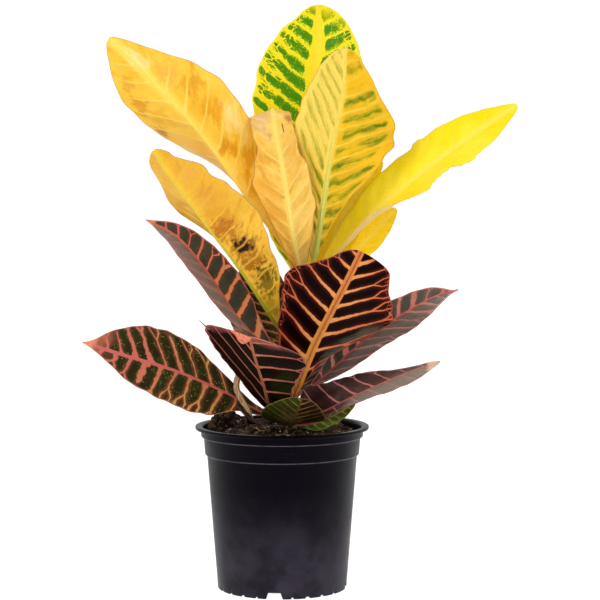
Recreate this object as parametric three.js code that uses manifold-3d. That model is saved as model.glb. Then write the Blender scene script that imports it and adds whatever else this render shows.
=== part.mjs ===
// Potted croton: a black nursery pot, its soil, one woody stem and twenty-four leaves, in millimetres.
// The origin is the middle of the pot's underside, +Z is up and -Y is the plant's front.
import * as THREE from "three";
import { mergeVertices } from "three/addons/utils/BufferGeometryUtils.js";
import Module from "manifold-3d";

const wasm = await Module();
wasm.setup();
const { Manifold, Mesh: SolidMesh } = wasm;

// ---------------------------------------------------------------- driving sizes, mm and degrees
const GAP = 0.3; // clearance between neighbouring pieces
const WELD_DISTANCE = 1e-4; // corners closer than this are one

const POT_HEIGHT = 155;
const POT_SIDES = 48;
const WALL = 1.6; // moulded wall
const FLOOR_Z = 5; // underside of the raised floor
const FLOOR = 2.4; // floor thickness
const PAD_RADIUS = 26; // the middle of the floor dips to the ground in a flat pad
const PAD_BLEND = 6;
const FOOT_WIDTH = 3.2;
const BASE_RADIUS = 61.4;
const STEP_Z = 127;
const STEP_RADIUS = 71.3; // lower wall just under the step
const BAND_RADIUS = 73.2; // upper band just over the step
const STEP_RISE = 1; // height over which the wall steps out
const COLLAR_Z = 144;
const BAND_TOP_RADIUS = 74.5;
const COLLAR_RADIUS = 77;
const LIP_Z = 152;
const LIP_RADIUS = 82.5;
const LIP_ROUND = 1;
const FLOOR_ROUND = 3; // where the wall meets the floor inside
const CUT_MARGIN = 2; // how far a cutting block runs past the foot

const NOTCH_COUNT = 4; // wide drainage notches in the foot
const NOTCH_TURN = -96.5; // azimuth of the front one
const NOTCH_TOP_WIDTH = 11.7;
const NOTCH_BOTTOM_WIDTH = 16.4;
const NOTCH_HEIGHT = 6;
const NOTCH_CORNER = 1.2;
const SCALLOP_PITCH = 15; // small notches between the wide ones
const SCALLOP_WIDTH = 5;
const SCALLOP_HEIGHT = 1.6;
const DRAIN_RADIUS = 4; // holes through the raised floor, one behind each wide notch
const DRAIN_CIRCLE = 44;
const DRAIN_SIDES = 12;

const SOIL_TOP = 146;
const SOIL_SIDES = 36;
const SOIL_RINGS = 7;
const SOIL_MOUNDS = [
  { x: -54, y: 22, height: 19, spread: 11 },
  { x: -30, y: -8, height: 6, spread: 20 },
  { x: 30, y: 38, height: 6, spread: 20 },
  { x: 8, y: 0, height: 4, spread: 16 },
  { x: 52, y: -18, height: 3, spread: 12 },
];
const SOIL_LUMP = 0.9; // height of the lumps between the mounds
const SOIL_LUMP_TURNS = [0.31, 0.27, 0.12, 0.41]; // how fast the lumps repeat, radians per millimetre
const SOIL_SECOND_LUMP = 0.6; // share of the height that the slanting lumps add
const SOIL_RADIUS = BAND_TOP_RADIUS - WALL - GAP - 0.2;
const SOIL_SHOULDER = 4; // the soil's edge is this deep before it follows the pot's wall
const STEM_HOLE_RADIUS = 6.6;
const STEM_HOLE_SIDES = 24;

const STEM_SIDES = 10;
const STEM_RING_COUNT = 13;
const STEM_PATH = [[8, 0, 112], [8, 0, 138], [10, -1, 180], [17, 1, 240], [24, 3, 296]];
const STEM_FOOT_RADIUS = 6;
const STEM_TOP_RADIUS = 3.6;
const STEM_RIDGE = 0.35; // the rings left where leaves have dropped
const STEM_RIDGE_PITCH = 14;
const STEM_BURIED_SHARE = 0.25;

const BLADE_HALF = 0.42; // half the blade's thickness
const PETIOLE_RADIUS = 2.1;
const RIB_TIP_RADIUS = 0.6;
const TIP_HALF_WIDTH = 0.6;
const MIDDLE_COLUMN = 0.55; // share of the half width where the blade bends between its midrib and its margin
const RIB_SHARE = 0.3; // the midrib takes no more of a half width than this
const RING_SIZE = 14; // seven columns on each side of the blade
const PETIOLE_ROWS = 2;
const LARGE_BLADE_ROWS = 12;
const SMALL_BLADE_ROWS = 8;
const SMALL_LEAF_LENGTH = 150;
const CURVE_STEPS = 24;
const TANGENT_SHARE = 0.02;
const NORMAL_STEP = 0.004;
const SMALLEST_TURN = 1e-4; // radians; a half blade that bends less is taken as this one
const TIP_SHARE = 0.998; // the last ring stands this far along the blade
const WAVE_LENGTH_POWER = 0.6; // how soon the margin's waves grow from the base and die towards the tip
const WAVE_WIDTH_POWER = 1.6; // how closely the waves keep to the margin

// Each leaf: the height at which it leaves the stem, points along its midrib from the stem to the tip,
// its petiole's length, seven half widths each side of the midrib from base to tip, the directions its upper
// side faces from base to tip, how far each half folds up at the midrib and at the margin from base to tip,
// [left, right], and the margin's waves: [height, count, start] left and right.
const LEAVES = {
  leaf_gold_left_high: {
    z: 268, petiole: 22, tint: "gold",
    spine: [[6, -6, 316], [-29, -16, 366], [-69, -28, 422], [-112, -38, 472], [-158, -44, 518]],
    left: [5, 11, 29, 45, 46, 25, 9],
    right: [5, 13, 31, 47, 47, 38, 16],
    face: [[0.25, 0.85, 0.3], [0.2, 0.9, 0.3], [0.2, 0.9, 0.3]],
    fold: [[10, 85], [5, 62], [10, 14], [8, 5]],
    edge: [[40, 100], [20, 95], [20, 40], [15, 5]],
    wave: [[2, 3, 0], [2, 3, 0.3]],
  },
  leaf_gold_left_low: {
    z: 228, petiole: 18, tint: "gold",
    spine: [[-4, -16, 250], [-36, -40, 301], [-68, -55, 345], [-98, -62, 386], [-117, -60, 415]],
    left: [5, 14, 33, 48, 48, 27, 12],
    right: [5, 12, 28, 42, 43, 24, 19],
    face: [[0.6, 0.7, 0.3], [0.5, 0.8, 0.3], [0.4, 0.8, 0.3]],
    fold: [[10, 85], [5, 68], [5, 36], [5, 20]],
    edge: [[20, 95], [15, 72], [10, 36], [10, 20]],
    wave: [[2, 4, 0], [2, 3, 0.3]],
  },
  leaf_green_gold_top: {
    z: 292, petiole: 22, tint: "green_gold",
    spine: [[27, 16, 322], [26, 34, 397], [30, 45, 483], [35, 52, 532], [34, 50, 556]],
    left: [6, 18, 37, 54, 56, 41, 21],
    right: [6, 18, 34, 48, 50, 40, 19],
    face: [[0, -0.95, 0.2], [0, -0.95, 0.2], [0, -0.95, 0.2]],
    fold: [[8, 8], [8, 8]],
    edge: [[10, 10], [10, 10]],
    wave: [[2, 2, 0], [2, 2, 0.3]],
  },
  leaf_gold_centre: {
    z: 288, petiole: 22, tint: "green_gold",
    spine: [[30, -14, 313], [37, -28, 354], [46, -44, 415], [56, -54, 465], [59, -58, 508]],
    left: [3, 9, 24, 54, 60, 31, 14],
    right: [3, 10, 24, 36, 38, 30, 16],
    face: [[-0.1, 0.9, 0.3], [0, 0.95, 0.2], [0, 0.95, 0.2]],
    fold: [[25, 15], [25, 15]],
    edge: [[25, 15], [25, 15]],
    wave: [[2, 2, 0], [2, 2, 0.3]],
  },
  leaf_pale_centre: {
    z: 282, petiole: 18, tint: "gold",
    spine: [[15, -22, 312], [9, -42, 345], [2, -52, 392], [-6, -50, 436], [-9, -28, 453], [-10, -6, 444]],
    left: [5, 13, 22, 25, 19, 17, 11],
    right: [4, 10, 19, 28, 22, 22, 12],
    face: [[0.1, 0.9, 0.3], [0, 0.95, 0.2], [0, 0.9, -0.2], [0, 0.1, -0.9]],
    fold: [[10, 10], [10, 10]],
    edge: [[20, 20], [20, 20]],
    wave: [[3, 3, 0.1], [3, 3, 0.4]],
  },
  leaf_yellow_right: {
    z: 275, petiole: 18, tint: "yellow",
    spine: [[45, 4, 310], [80, 6, 350], [125, 2, 389], [171, -2, 424], [221, -4, 458]],
    left: [4, 11, 21, 28, 28, 20, 8],
    right: [5, 14, 25, 32, 24, 19, 9],
    face: [[-0.5, -0.8, 0.2], [-0.4, -0.8, 0.4], [-0.4, -0.8, 0.4]],
    fold: [[5, 15], [5, 15], [5, 5], [5, 5]],
    edge: [[5, 100], [5, 100], [5, 15], [5, 5]],
    wave: [[2, 3, 0], [2, 3, 0.3]],
  },
  leaf_yellow_right_small: {
    z: 248, petiole: 22, tint: "yellow",
    spine: [[50, 20, 300], [84, 40, 332], [110, 48, 360]],
    left: [4, 10, 18, 22, 20, 14, 7],
    right: [4, 8, 14, 17, 16, 12, 6],
    face: [[-0.4, -0.8, 0.4], [-0.4, -0.8, 0.4]],
    fold: [[5, 5], [5, 5]],
    edge: [[5, 5], [5, 5]],
    wave: [[1, 2, 0], [1, 2, 0.3]],
  },
  leaf_yellow_right_back: {
    z: 264, petiole: 22, tint: "yellow",
    spine: [[35, 20, 300], [60, 34, 354], [84, 44, 393], [96, 46, 406]],
    left: [4, 12, 20, 24, 20, 14, 7],
    right: [4, 12, 20, 24, 20, 14, 7],
    face: [[-0.3, -0.9, 0.3], [-0.3, -0.9, 0.3]],
    fold: [[5, 5], [5, 5]],
    edge: [[5, 5], [5, 5]],
    wave: [[1, 2, 0], [1, 2, 0.3]],
  },
  leaf_dark_left_high: {
    z: 214, petiole: 18, tint: "dark",
    spine: [[-12, 6, 226], [-42, 8, 256], [-69, 12, 296], [-98, 16, 331], [-130, 14, 350]],
    left: [4, 13, 28, 38, 37, 22, 4],
    right: [4, 13, 24, 26, 22, 12, 3],
    face: [[0.4, -0.75, 0.5], [0.4, -0.75, 0.5], [0.3, -0.75, 0.5]],
    fold: [[34, 10], [24, 10]],
    edge: [[50, 10], [42, 10]],
    wave: [[1, 2, 0], [1, 2, 0.3]],
  },
  leaf_dark_left_back: {
    z: 204, petiole: 22, tint: "dark",
    spine: [[0, 24, 238], [-16, 48, 272], [-34, 68, 312]],
    left: [4, 12, 22, 26, 24, 17, 7],
    right: [4, 12, 22, 26, 24, 17, 7],
    face: [[0.2, -0.9, 0.4], [0.2, -0.9, 0.4]],
    fold: [[5, 5], [5, 5]],
    edge: [[5, 5], [5, 5]],
    wave: [[1, 2, 0], [1, 2, 0.3]],
  },
  leaf_dark_left_low: {
    z: 163, petiole: 22, tint: "dark",
    spine: [[-19, -8, 168], [-54, -16, 188], [-98, -22, 208], [-150, -22, 224], [-188, -14, 235]],
    left: [4, 11, 32, 36, 29, 11, 2],
    right: [4, 8, 20, 34, 39, 27, 5],
    face: [[0.2, -0.8, 0.6], [0.2, -0.8, 0.6], [0.2, -0.8, 0.6]],
    fold: [[5, 5], [5, 5]],
    edge: [[0, 0], [0, 0]],
    wave: [[1, 2, 0], [1, 2, 0.3]],
  },
  leaf_dark_front_left: {
    z: 166, petiole: 20, tint: "dark",
    spine: [[-9, -24, 172], [-17, -52, 200], [-24, -74, 226], [-29, -90, 247]],
    left: [4, 11, 24, 34, 47, 57, 50],
    right: [4, 13, 27, 39, 50, 55, 48],
    face: [[0.3, 0.8, 0.5], [0.3, 0.8, 0.5], [0.3, 0.8, 0.5]],
    fold: [[-5, 20], [-10, 20]],
    edge: [[-5, 20], [-20, 20]],
    wave: [[0, 0, 0], [0, 0, 0]],
  },
  leaf_dark_front: {
    z: 176, petiole: 20, tint: "dark",
    spine: [[14, -22, 192], [29, -44, 232], [46, -60, 268], [62, -69, 300], [73, -70, 323]],
    left: [3, 7, 16, 37, 56, 40, 31],
    right: [4, 15, 35, 45, 53, 29, 14],
    face: [[0.1, 0.9, 0.4], [0.1, 0.9, 0.4], [0.1, 0.9, 0.4]],
    fold: [[5, 5], [5, 5]],
    edge: [[10, 25], [10, 25]],
    wave: [[1, 2, 0], [1, 2, 0.3]],
  },
  leaf_dark_right_high: {
    z: 182, petiole: 20, tint: "dark",
    spine: [[34, 14, 194], [72, 20, 228], [108, 22, 254], [142, 20, 274], [168, 16, 283]],
    left: [4, 10, 17, 21, 19, 13, 2],
    right: [4, 18, 34, 42, 44, 30, 6],
    face: [[-0.3, -0.7, 0.6], [-0.3, -0.7, 0.6], [-0.3, -0.7, 0.6]],
    fold: [[5, 30], [5, 30]],
    edge: [[5, 30], [5, 30]],
    wave: [[1, 2, 0], [1, 2, 0.3]],
  },
  leaf_dark_right_low: {
    z: 162, petiole: 7, tint: "dark",
    spine: [[36, -14, 168], [66, -30, 185], [103, -40, 203], [132, -44, 215], [147, -44, 220]],
    left: [28, 31, 32, 26, 12, 6, 3],
    right: [6, 7, 16, 29, 33, 29, 10],
    face: [[-0.3, -0.9, 0.4], [-0.3, -0.6, 0.7], [-0.3, -0.5, 0.8], [-0.3, -0.5, 0.8], [-0.3, -0.5, 0.8]],
    fold: [[5, 20], [5, 20]],
    edge: [[5, 20], [5, 20]],
    wave: [[1, 2, 0], [1, 2, 0.3]],
  },
  leaf_small_front: {
    z: 155, petiole: 10, tint: "dark",
    spine: [[8, -16, 157], [10, -36, 163], [15, -56, 176], [19, -68, 188]],
    left: [14, 26, 30, 30, 25, 18, 9],
    right: [14, 26, 30, 30, 25, 18, 9],
    face: [[0, 0.8, 0.6], [0, 0.8, 0.6]],
    fold: [[10, 10], [10, 10]],
    edge: [[10, 10], [10, 10]],
    wave: [[0, 0, 0], [0, 0, 0]],
  },
  leaf_small_right: {
    z: 156, petiole: 10, tint: "green_gold",
    spine: [[28, -8, 157], [45, -13, 164], [59, -18, 172], [70, -22, 181]],
    left: [3, 7, 11, 12, 10, 7, 3],
    right: [3, 6, 10, 10, 9, 6, 3],
    face: [[-0.35, -0.75, 0.5], [-0.35, -0.75, 0.5]],
    fold: [[5, 5], [5, 5]],
    edge: [[5, 5], [5, 5]],
    wave: [[0, 0, 0], [0, 0, 0]],
  },
  leaf_withered_rolled: {
    z: 200, petiole: 24, tint: "withered",
    spine: [[-12, -6, 212], [-33, -16, 212], [-41, -22, 194], [-31, -26, 174], [-27, -27, 162]],
    left: [2, 3.5, 4.5, 5, 5, 4, 2],
    right: [2, 3.5, 4.5, 5, 5, 4, 2],
    face: [[0, 0, 1], [-0.8, -0.6, 0.3], [-0.8, -0.6, 0.3]],
    fold: [[20, 20], [20, 20]],
    edge: [[60, 60], [60, 60]],
    wave: [[0, 0, 0], [0, 0, 0]],
  },
  leaf_withered_flat: {
    z: 155, petiole: 14, tint: "withered",
    spine: [[-9, -8, 160], [-24, -34, 161], [-34, -42, 170], [-41, -44, 178]],
    left: [1, 3, 5, 7, 7, 5, 2],
    right: [1, 3, 5, 6, 6, 5, 2],
    face: [[0.3, -0.3, 0.9], [0.3, -0.3, 0.9]],
    fold: [[20, 20], [20, 20]],
    edge: [[20, 20], [20, 20]],
    wave: [[0, 0, 0], [0, 0, 0]],
  },
  leaf_back_gold: {
    z: 280, petiole: 18, tint: "green_gold",
    spine: [[14, 27, 306], [12, 64, 350], [12, 100, 388], [10, 130, 412]],
    left: [4, 12, 24, 32, 32, 24, 10],
    right: [4, 12, 24, 32, 32, 24, 10],
    face: [[0, -0.7, 0.7], [0, -0.6, 0.8], [0, -0.5, 0.85]],
    fold: [[15, 15], [10, 10]],
    edge: [[5, 5], [5, 5]],
    wave: [[2, 3, 0], [2, 3, 0.3]],
  },
  leaf_back_gold_right: {
    z: 236, petiole: 18, tint: "green_gold",
    spine: [[34, 34, 276], [62, 74, 318], [82, 108, 352]],
    left: [4, 10, 18, 24, 22, 15, 6],
    right: [4, 10, 18, 24, 22, 15, 6],
    face: [[-0.6, -0.5, 0.6], [-0.6, -0.4, 0.7]],
    fold: [[15, 15], [10, 10]],
    edge: [[5, 5], [5, 5]],
    wave: [[1, 3, 0], [1, 3, 0.3]],
  },
  leaf_back_dark_left: {
    z: 190, petiole: 18, tint: "dark",
    spine: [[-6, 26, 206], [-22, 62, 232], [-33, 96, 257], [-37, 118, 270]],
    left: [4, 12, 22, 28, 26, 18, 6],
    right: [4, 12, 22, 28, 26, 18, 6],
    face: [[0.4, -0.6, 0.7], [0.3, -0.5, 0.8]],
    fold: [[15, 15], [10, 10]],
    edge: [[5, 5], [5, 5]],
    wave: [[1, 3, 0], [1, 3, 0.3]],
  },
  leaf_back_dark: {
    z: 172, petiole: 20, tint: "dark",
    spine: [[12, 28, 184], [14, 72, 204], [14, 116, 216], [14, 148, 220]],
    left: [4, 14, 28, 36, 34, 22, 6],
    right: [4, 14, 28, 36, 34, 22, 6],
    face: [[0, -0.4, 0.9], [0, -0.2, 1]],
    fold: [[15, 15], [10, 10]],
    edge: [[5, 5], [5, 5]],
    wave: [[1, 3, 0], [1, 3, 0.3]],
  },
  leaf_back_dark_right: {
    z: 196, petiole: 18, tint: "dark",
    spine: [[26, 30, 218], [46, 70, 246], [62, 102, 268], [70, 122, 278]],
    left: [4, 12, 22, 28, 26, 18, 6],
    right: [4, 12, 22, 28, 26, 18, 6],
    face: [[-0.4, -0.6, 0.7], [-0.3, -0.5, 0.8]],
    fold: [[15, 15], [10, 10]],
    edge: [[5, 5], [5, 5]],
    wave: [[1, 3, 0], [1, 3, 0.3]],
  },
};

const TINTS = {
  pot: 0x1d1d21,
  soil: 0x2c2018,
  stem: 0x6d5a3e,
  gold: 0xe8b23c,
  yellow: 0xf5d420,
  green_gold: 0xa9c22c,
  dark: 0x2d3a26,
  withered: 0xa98c62,
};

// ---------------------------------------------------------------- solids and meshes

function solidFrom(geometry) {
  const bare = geometry.clone();
  bare.deleteAttribute("normal");
  bare.deleteAttribute("uv");
  const merged = mergeVertices(bare, WELD_DISTANCE);
  return new Manifold(
    new SolidMesh({
      numProp: 3,
      vertProperties: new Float32Array(merged.attributes.position.array),
      triVerts: new Uint32Array(merged.index.array),
    }),
  );
}

function geometryFrom(solid) {
  const mesh = solid.getMesh();
  const positions = new Float32Array(mesh.numVert * 3);
  for (let i = 0; i < mesh.numVert; i++) {
    positions.set(mesh.vertProperties.subarray(i * mesh.numProp, i * mesh.numProp + 3), i * 3);
  }
  const geometry = new THREE.BufferGeometry();
  geometry.setAttribute("position", new THREE.BufferAttribute(positions, 3));
  geometry.setIndex(new THREE.BufferAttribute(new Uint32Array(mesh.triVerts), 1));
  geometry.computeVertexNormals();
  return geometry;
}

// A closed solid through rings of points that all hold the same count, with a flat fan at each end.
// The four-sided faces from firstMirrored on are split along their other diagonal.
function loft(rings, firstMirrored = Infinity) {
  const count = rings[0].length;
  const positions = rings.flat().flatMap((point) => point.toArray());
  const faces = [];
  for (let row = 0; row + 1 < rings.length; row++) {
    for (let i = 0; i < count; i++) {
      const next = (i + 1) % count;
      const a = row * count + i;
      const b = row * count + next;
      if (i < firstMirrored) faces.push(a, b, b + count, a, b + count, a + count);
      else faces.push(a, b, a + count, b, b + count, a + count);
    }
  }
  for (const [row, flip] of [[0, true], [rings.length - 1, false]]) {
    const centre = new THREE.Vector3();
    rings[row].forEach((point) => centre.addScaledVector(point, 1 / count));
    const hub = positions.length / 3;
    positions.push(...centre.toArray());
    for (let i = 0; i < count; i++) {
      const a = row * count + i;
      const b = row * count + ((i + 1) % count);
      faces.push(hub, flip ? b : a, flip ? a : b);
    }
  }
  const geometry = new THREE.BufferGeometry();
  geometry.setAttribute("position", new THREE.Float32BufferAttribute(positions, 3));
  geometry.setIndex(faces);
  return solidFrom(geometry);
}

function latheSolid(profile, sides) {
  const points = profile.map(([radius, z]) => new THREE.Vector2(radius, z));
  const turned = new THREE.LatheGeometry(points, sides);
  turned.rotateX(Math.PI / 2);
  return solidFrom(turned);
}

// ---------------------------------------------------------------- curves

// Value of a smooth curve through evenly spaced entries, which are numbers or arrays, at a share 0 to 1.
function smoothValue(entries, share) {
  const values = entries.map((entry) => (Array.isArray(entry) ? entry : [entry]));
  if (values.length === 1) return values[0];
  const mirror = (end, inner) => end.map((v, k) => 2 * v - inner[k]);
  const last = values.length - 1;
  const padded = [mirror(values[0], values[1]), ...values, mirror(values[last], values[last - 1])];
  const place = Math.min(Math.max(share, 0), 1) * last;
  const i = Math.min(Math.floor(place), last - 1);
  const t = place - i;
  const [a, b, c, d] = padded.slice(i, i + 4);
  return b.map((_, k) => 0.5 * (2 * b[k] + (c[k] - a[k]) * t + (2 * a[k] - 5 * b[k] + 4 * c[k] - d[k]) * t * t
    + (3 * b[k] - a[k] - 3 * c[k] + d[k]) * t ** 3));
}

// A path sampled along a smooth curve, which answers with the point a given length along it.
function makePath(points) {
  const samples = [];
  const spans = points.length - 1;
  for (let i = 0; i <= spans * CURVE_STEPS; i++) {
    samples.push(new THREE.Vector3(...smoothValue(points, i / (spans * CURVE_STEPS))));
  }
  const lengths = [0];
  samples.slice(1).forEach((point, i) => lengths.push(lengths[i] + point.distanceTo(samples[i])));
  const total = lengths[lengths.length - 1];
  const at = (length) => {
    const wanted = Math.min(Math.max(length, 0), total);
    let i = 0;
    while (i < lengths.length - 2 && lengths[i + 1] < wanted) i++;
    const share = (wanted - lengths[i]) / (lengths[i + 1] - lengths[i]);
    return samples[i].clone().lerp(samples[i + 1], share);
  };
  return { total, at, samples };
}

const stemPath = makePath(STEM_PATH);

function stemPointAt(z) {
  const i = Math.max(1, stemPath.samples.findIndex((point) => point.z >= z));
  const low = stemPath.samples[i - 1];
  const high = stemPath.samples[i];
  return low.clone().lerp(high, (z - low.z) / (high.z - low.z));
}

// ---------------------------------------------------------------- the leaves

// The seven half widths sit at evenly spaced angles of a half turn, so both ends round off.
function halfWidth(widths, share) {
  const place = Math.acos(1 - 2 * Math.min(Math.max(share, 0), 1)) / Math.PI;
  return Math.max(smoothValue([0, ...widths, 0], place)[0], TIP_HALF_WIDTH);
}

// Sideways and upward travel across a half blade of unit width that starts at one angle and ends at another.
function bend(across, startAngle, endAngle) {
  const start = THREE.MathUtils.degToRad(startAngle);
  let turn = THREE.MathUtils.degToRad(endAngle - startAngle);
  if (Math.abs(turn) < SMALLEST_TURN) turn = SMALLEST_TURN;
  const end = start + turn * across;
  return [(Math.sin(end) - Math.sin(start)) / turn, (Math.cos(start) - Math.cos(end)) / turn];
}

// The leaf's middle surface: a function from a share along the blade and a signed share across it to a point.
function leafSurface(leaf) {
  const path = makePath([stemPointAt(leaf.z).toArray(), ...leaf.spine]);
  const bladeLength = path.total - leaf.petiole;
  const frameAt = (share) => {
    const length = leaf.petiole + share * bladeLength;
    const reach = path.total * TANGENT_SHARE;
    const tangent = path.at(length + reach).sub(path.at(length - reach)).normalize();
    const facing = new THREE.Vector3(...smoothValue(leaf.face, share));
    const up = facing.addScaledVector(tangent, -facing.dot(tangent)).normalize();
    const right = new THREE.Vector3().crossVectors(tangent, up);
    return { centre: path.at(length), tangent, up, right };
  };
  const pointAt = (share, across) => {
    const side = across < 0 ? 0 : 1;
    const frame = frameAt(share);
    const width = halfWidth(side ? leaf.right : leaf.left, share);
    const fold = smoothValue(leaf.fold, share)[side];
    const edge = smoothValue(leaf.edge, share)[side];
    const reach = Math.abs(across);
    const [x, z] = bend(reach, fold, edge);
    const [height, count, start] = leaf.wave[side];
    const envelope = Math.sin(Math.PI * Math.min(Math.max(share, 0), 1)) ** WAVE_LENGTH_POWER;
    const crest = Math.sin(2 * Math.PI * (count * share + start));
    const ripple = height * envelope * reach ** WAVE_WIDTH_POWER * crest;
    return frame.centre
      .addScaledVector(frame.right, (side ? 1 : -1) * x * width)
      .addScaledVector(frame.up, z * width + ripple);
  };
  return { path, bladeLength, frameAt, pointAt };
}

function leafNormal(surface, share, across) {
  const ahead = surface.pointAt(Math.min(share + NORMAL_STEP, 1), across);
  const along = ahead.sub(surface.pointAt(Math.max(share - NORMAL_STEP, 0), across));
  const outward = surface.pointAt(share, across + NORMAL_STEP);
  const sideways = outward.sub(surface.pointAt(share, across - NORMAL_STEP));
  return new THREE.Vector3().crossVectors(sideways, along).normalize();
}

// One ring round the leaf: along its upper side from left to right, then back along its underside.
function bladeRing(leaf, surface, share) {
  const ribRadius = THREE.MathUtils.lerp(PETIOLE_RADIUS, RIB_TIP_RADIUS, Math.sqrt(share));
  const [ribLeft, ribRight] = [leaf.left, leaf.right].map((widths) =>
    Math.min(ribRadius / halfWidth(widths, share), RIB_SHARE));
  const columns = [-1, -MIDDLE_COLUMN, -ribLeft, 0, ribRight, MIDDLE_COLUMN, 1];
  const ribDepth = Math.min(ribRadius, RIB_SHARE * halfWidth(leaf.left, share));
  const upper = [];
  const under = [];
  for (const across of columns) {
    const middle = surface.pointAt(share, across);
    const normal = leafNormal(surface, share, across);
    upper.push(middle.clone().addScaledVector(normal, BLADE_HALF));
    under.unshift(middle.addScaledVector(normal, across === 0 ? -BLADE_HALF - ribDepth : -BLADE_HALF));
  }
  return [...upper, ...under];
}

function petioleRing(frame) {
  const ring = [];
  for (let i = 0; i < RING_SIZE; i++) {
    const angle = Math.PI - (2 * Math.PI * (i + 0.5)) / RING_SIZE;
    ring.push(frame.centre.clone()
      .addScaledVector(frame.right, PETIOLE_RADIUS * Math.cos(angle))
      .addScaledVector(frame.up, PETIOLE_RADIUS * Math.sin(angle)));
  }
  return ring;
}

function leafSolid(leaf) {
  const surface = leafSurface(leaf);
  const rows = surface.path.total < SMALL_LEAF_LENGTH ? SMALL_BLADE_ROWS : LARGE_BLADE_ROWS;
  const rings = [];
  for (let i = 0; i < PETIOLE_ROWS; i++) {
    const share = -(leaf.petiole * (1 - i / PETIOLE_ROWS)) / surface.bladeLength;
    rings.push(petioleRing(surface.frameAt(share)));
  }
  for (let i = 1; i < rows; i++) {
    rings.push(bladeRing(leaf, surface, (1 - Math.cos((Math.PI * i) / rows)) / 2));
  }
  rings.push(bladeRing(leaf, surface, TIP_SHARE));
  return loft(rings, RING_SIZE / 2);
}

// ---------------------------------------------------------------- stem

// A level ring of points; heightAt gives each point's height.
function levelRing(x, y, radius, sides, heightAt) {
  const ring = [];
  for (let k = 0; k < sides; k++) {
    const angle = (2 * Math.PI * k) / sides;
    const point = new THREE.Vector3(x + radius * Math.cos(angle), y + radius * Math.sin(angle), 0);
    ring.push(point.setZ(heightAt(point.x, point.y)));
  }
  return ring;
}

function stemSolid(extra) {
  const rings = [];
  for (let i = 0; i <= STEM_RING_COUNT; i++) {
    const share = i / STEM_RING_COUNT;
    const centre = stemPath.at(share * stemPath.total);
    const inAir = share > STEM_BURIED_SHARE && share < 1;
    const ringTurn = (2 * Math.PI * share * stemPath.total) / STEM_RIDGE_PITCH;
    const ridge = inAir ? STEM_RIDGE * Math.cos(ringTurn) : 0;
    const radius = THREE.MathUtils.lerp(STEM_FOOT_RADIUS, STEM_TOP_RADIUS, share) + ridge + extra;
    rings.push(levelRing(centre.x, centre.y, radius, STEM_SIDES, () => centre.z));
  }
  return loft(rings);
}

// ---------------------------------------------------------------- pot

// A block across the pot's foot: the outline gives width and height, and turn is the azimuth it faces.
function footBlock(outline, turn) {
  const shape = new THREE.Shape(outline.map(([x, z]) => new THREE.Vector2(x, z)));
  const start = BASE_RADIUS - FOOT_WIDTH - CUT_MARGIN;
  const block = new THREE.ExtrudeGeometry(shape, { depth: FOOT_WIDTH + 3 * CUT_MARGIN, bevelEnabled: false });
  block.rotateX(Math.PI / 2);
  block.translate(0, -start, 0);
  block.rotateZ(THREE.MathUtils.degToRad(turn + 90));
  return solidFrom(block);
}

function drainHole(turn) {
  const drain = new THREE.CylinderGeometry(DRAIN_RADIUS, DRAIN_RADIUS, 4 * FLOOR, DRAIN_SIDES);
  drain.rotateX(Math.PI / 2);
  drain.translate(DRAIN_CIRCLE, 0, FLOOR_Z);
  drain.rotateZ(THREE.MathUtils.degToRad(turn));
  return solidFrom(drain);
}

function notchOutline(bottomWidth, topWidth, height, corner) {
  const low = bottomWidth / 2;
  const high = topWidth / 2;
  return [[-low, -CUT_MARGIN], [low, -CUT_MARGIN], [high, height - corner], [high - corner, height],
    [corner - high, height], [-high, height - corner]];
}

function potSolid() {
  const under = [
    [0, 0], [PAD_RADIUS, 0], [PAD_RADIUS + PAD_BLEND, FLOOR_Z],
    [BASE_RADIUS - FOOT_WIDTH, FLOOR_Z], [BASE_RADIUS - FOOT_WIDTH, 0],
  ];
  const outer = [
    [BASE_RADIUS, 0], [STEP_RADIUS, STEP_Z], [BAND_RADIUS, STEP_Z + STEP_RISE],
    [BAND_TOP_RADIUS, COLLAR_Z], [COLLAR_RADIUS, COLLAR_Z + STEP_RISE], [COLLAR_RADIUS, LIP_Z],
  ];
  const lip = [
    [LIP_RADIUS - LIP_ROUND, LIP_Z], [LIP_RADIUS, LIP_Z + LIP_ROUND], [LIP_RADIUS, POT_HEIGHT - LIP_ROUND],
    [LIP_RADIUS - LIP_ROUND, POT_HEIGHT], [COLLAR_RADIUS, POT_HEIGHT],
  ];
  const inner = [
    [COLLAR_RADIUS - WALL, POT_HEIGHT - WALL], [COLLAR_RADIUS - WALL, COLLAR_Z + WALL],
    [BAND_TOP_RADIUS - WALL, COLLAR_Z], [BAND_RADIUS - WALL, STEP_Z + WALL], [STEP_RADIUS - WALL, STEP_Z],
    [BASE_RADIUS - WALL, FLOOR_Z + FLOOR + FLOOR_ROUND], [BASE_RADIUS - WALL - FLOOR_ROUND, FLOOR_Z + FLOOR],
    [PAD_RADIUS + PAD_BLEND, FLOOR_Z + FLOOR], [PAD_RADIUS, FLOOR], [0, FLOOR],
  ];
  const wideOutline = notchOutline(NOTCH_BOTTOM_WIDTH, NOTCH_TOP_WIDTH, NOTCH_HEIGHT, NOTCH_CORNER);
  const smallOutline = notchOutline(SCALLOP_WIDTH, SCALLOP_WIDTH, SCALLOP_HEIGHT, SCALLOP_HEIGHT / 2);
  const wideStep = 360 / NOTCH_COUNT;
  let pot = latheSolid([...under, ...outer, ...lip, ...inner], POT_SIDES);
  for (let i = 0; i < NOTCH_COUNT; i++) {
    const turn = NOTCH_TURN + i * wideStep;
    pot = pot.subtract(footBlock(wideOutline, turn)).subtract(drainHole(turn));
    for (let angle = SCALLOP_PITCH; angle < wideStep; angle += SCALLOP_PITCH) {
      pot = pot.subtract(footBlock(smallOutline, turn + angle));
    }
  }
  return pot;
}

// ---------------------------------------------------------------- soil

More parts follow.
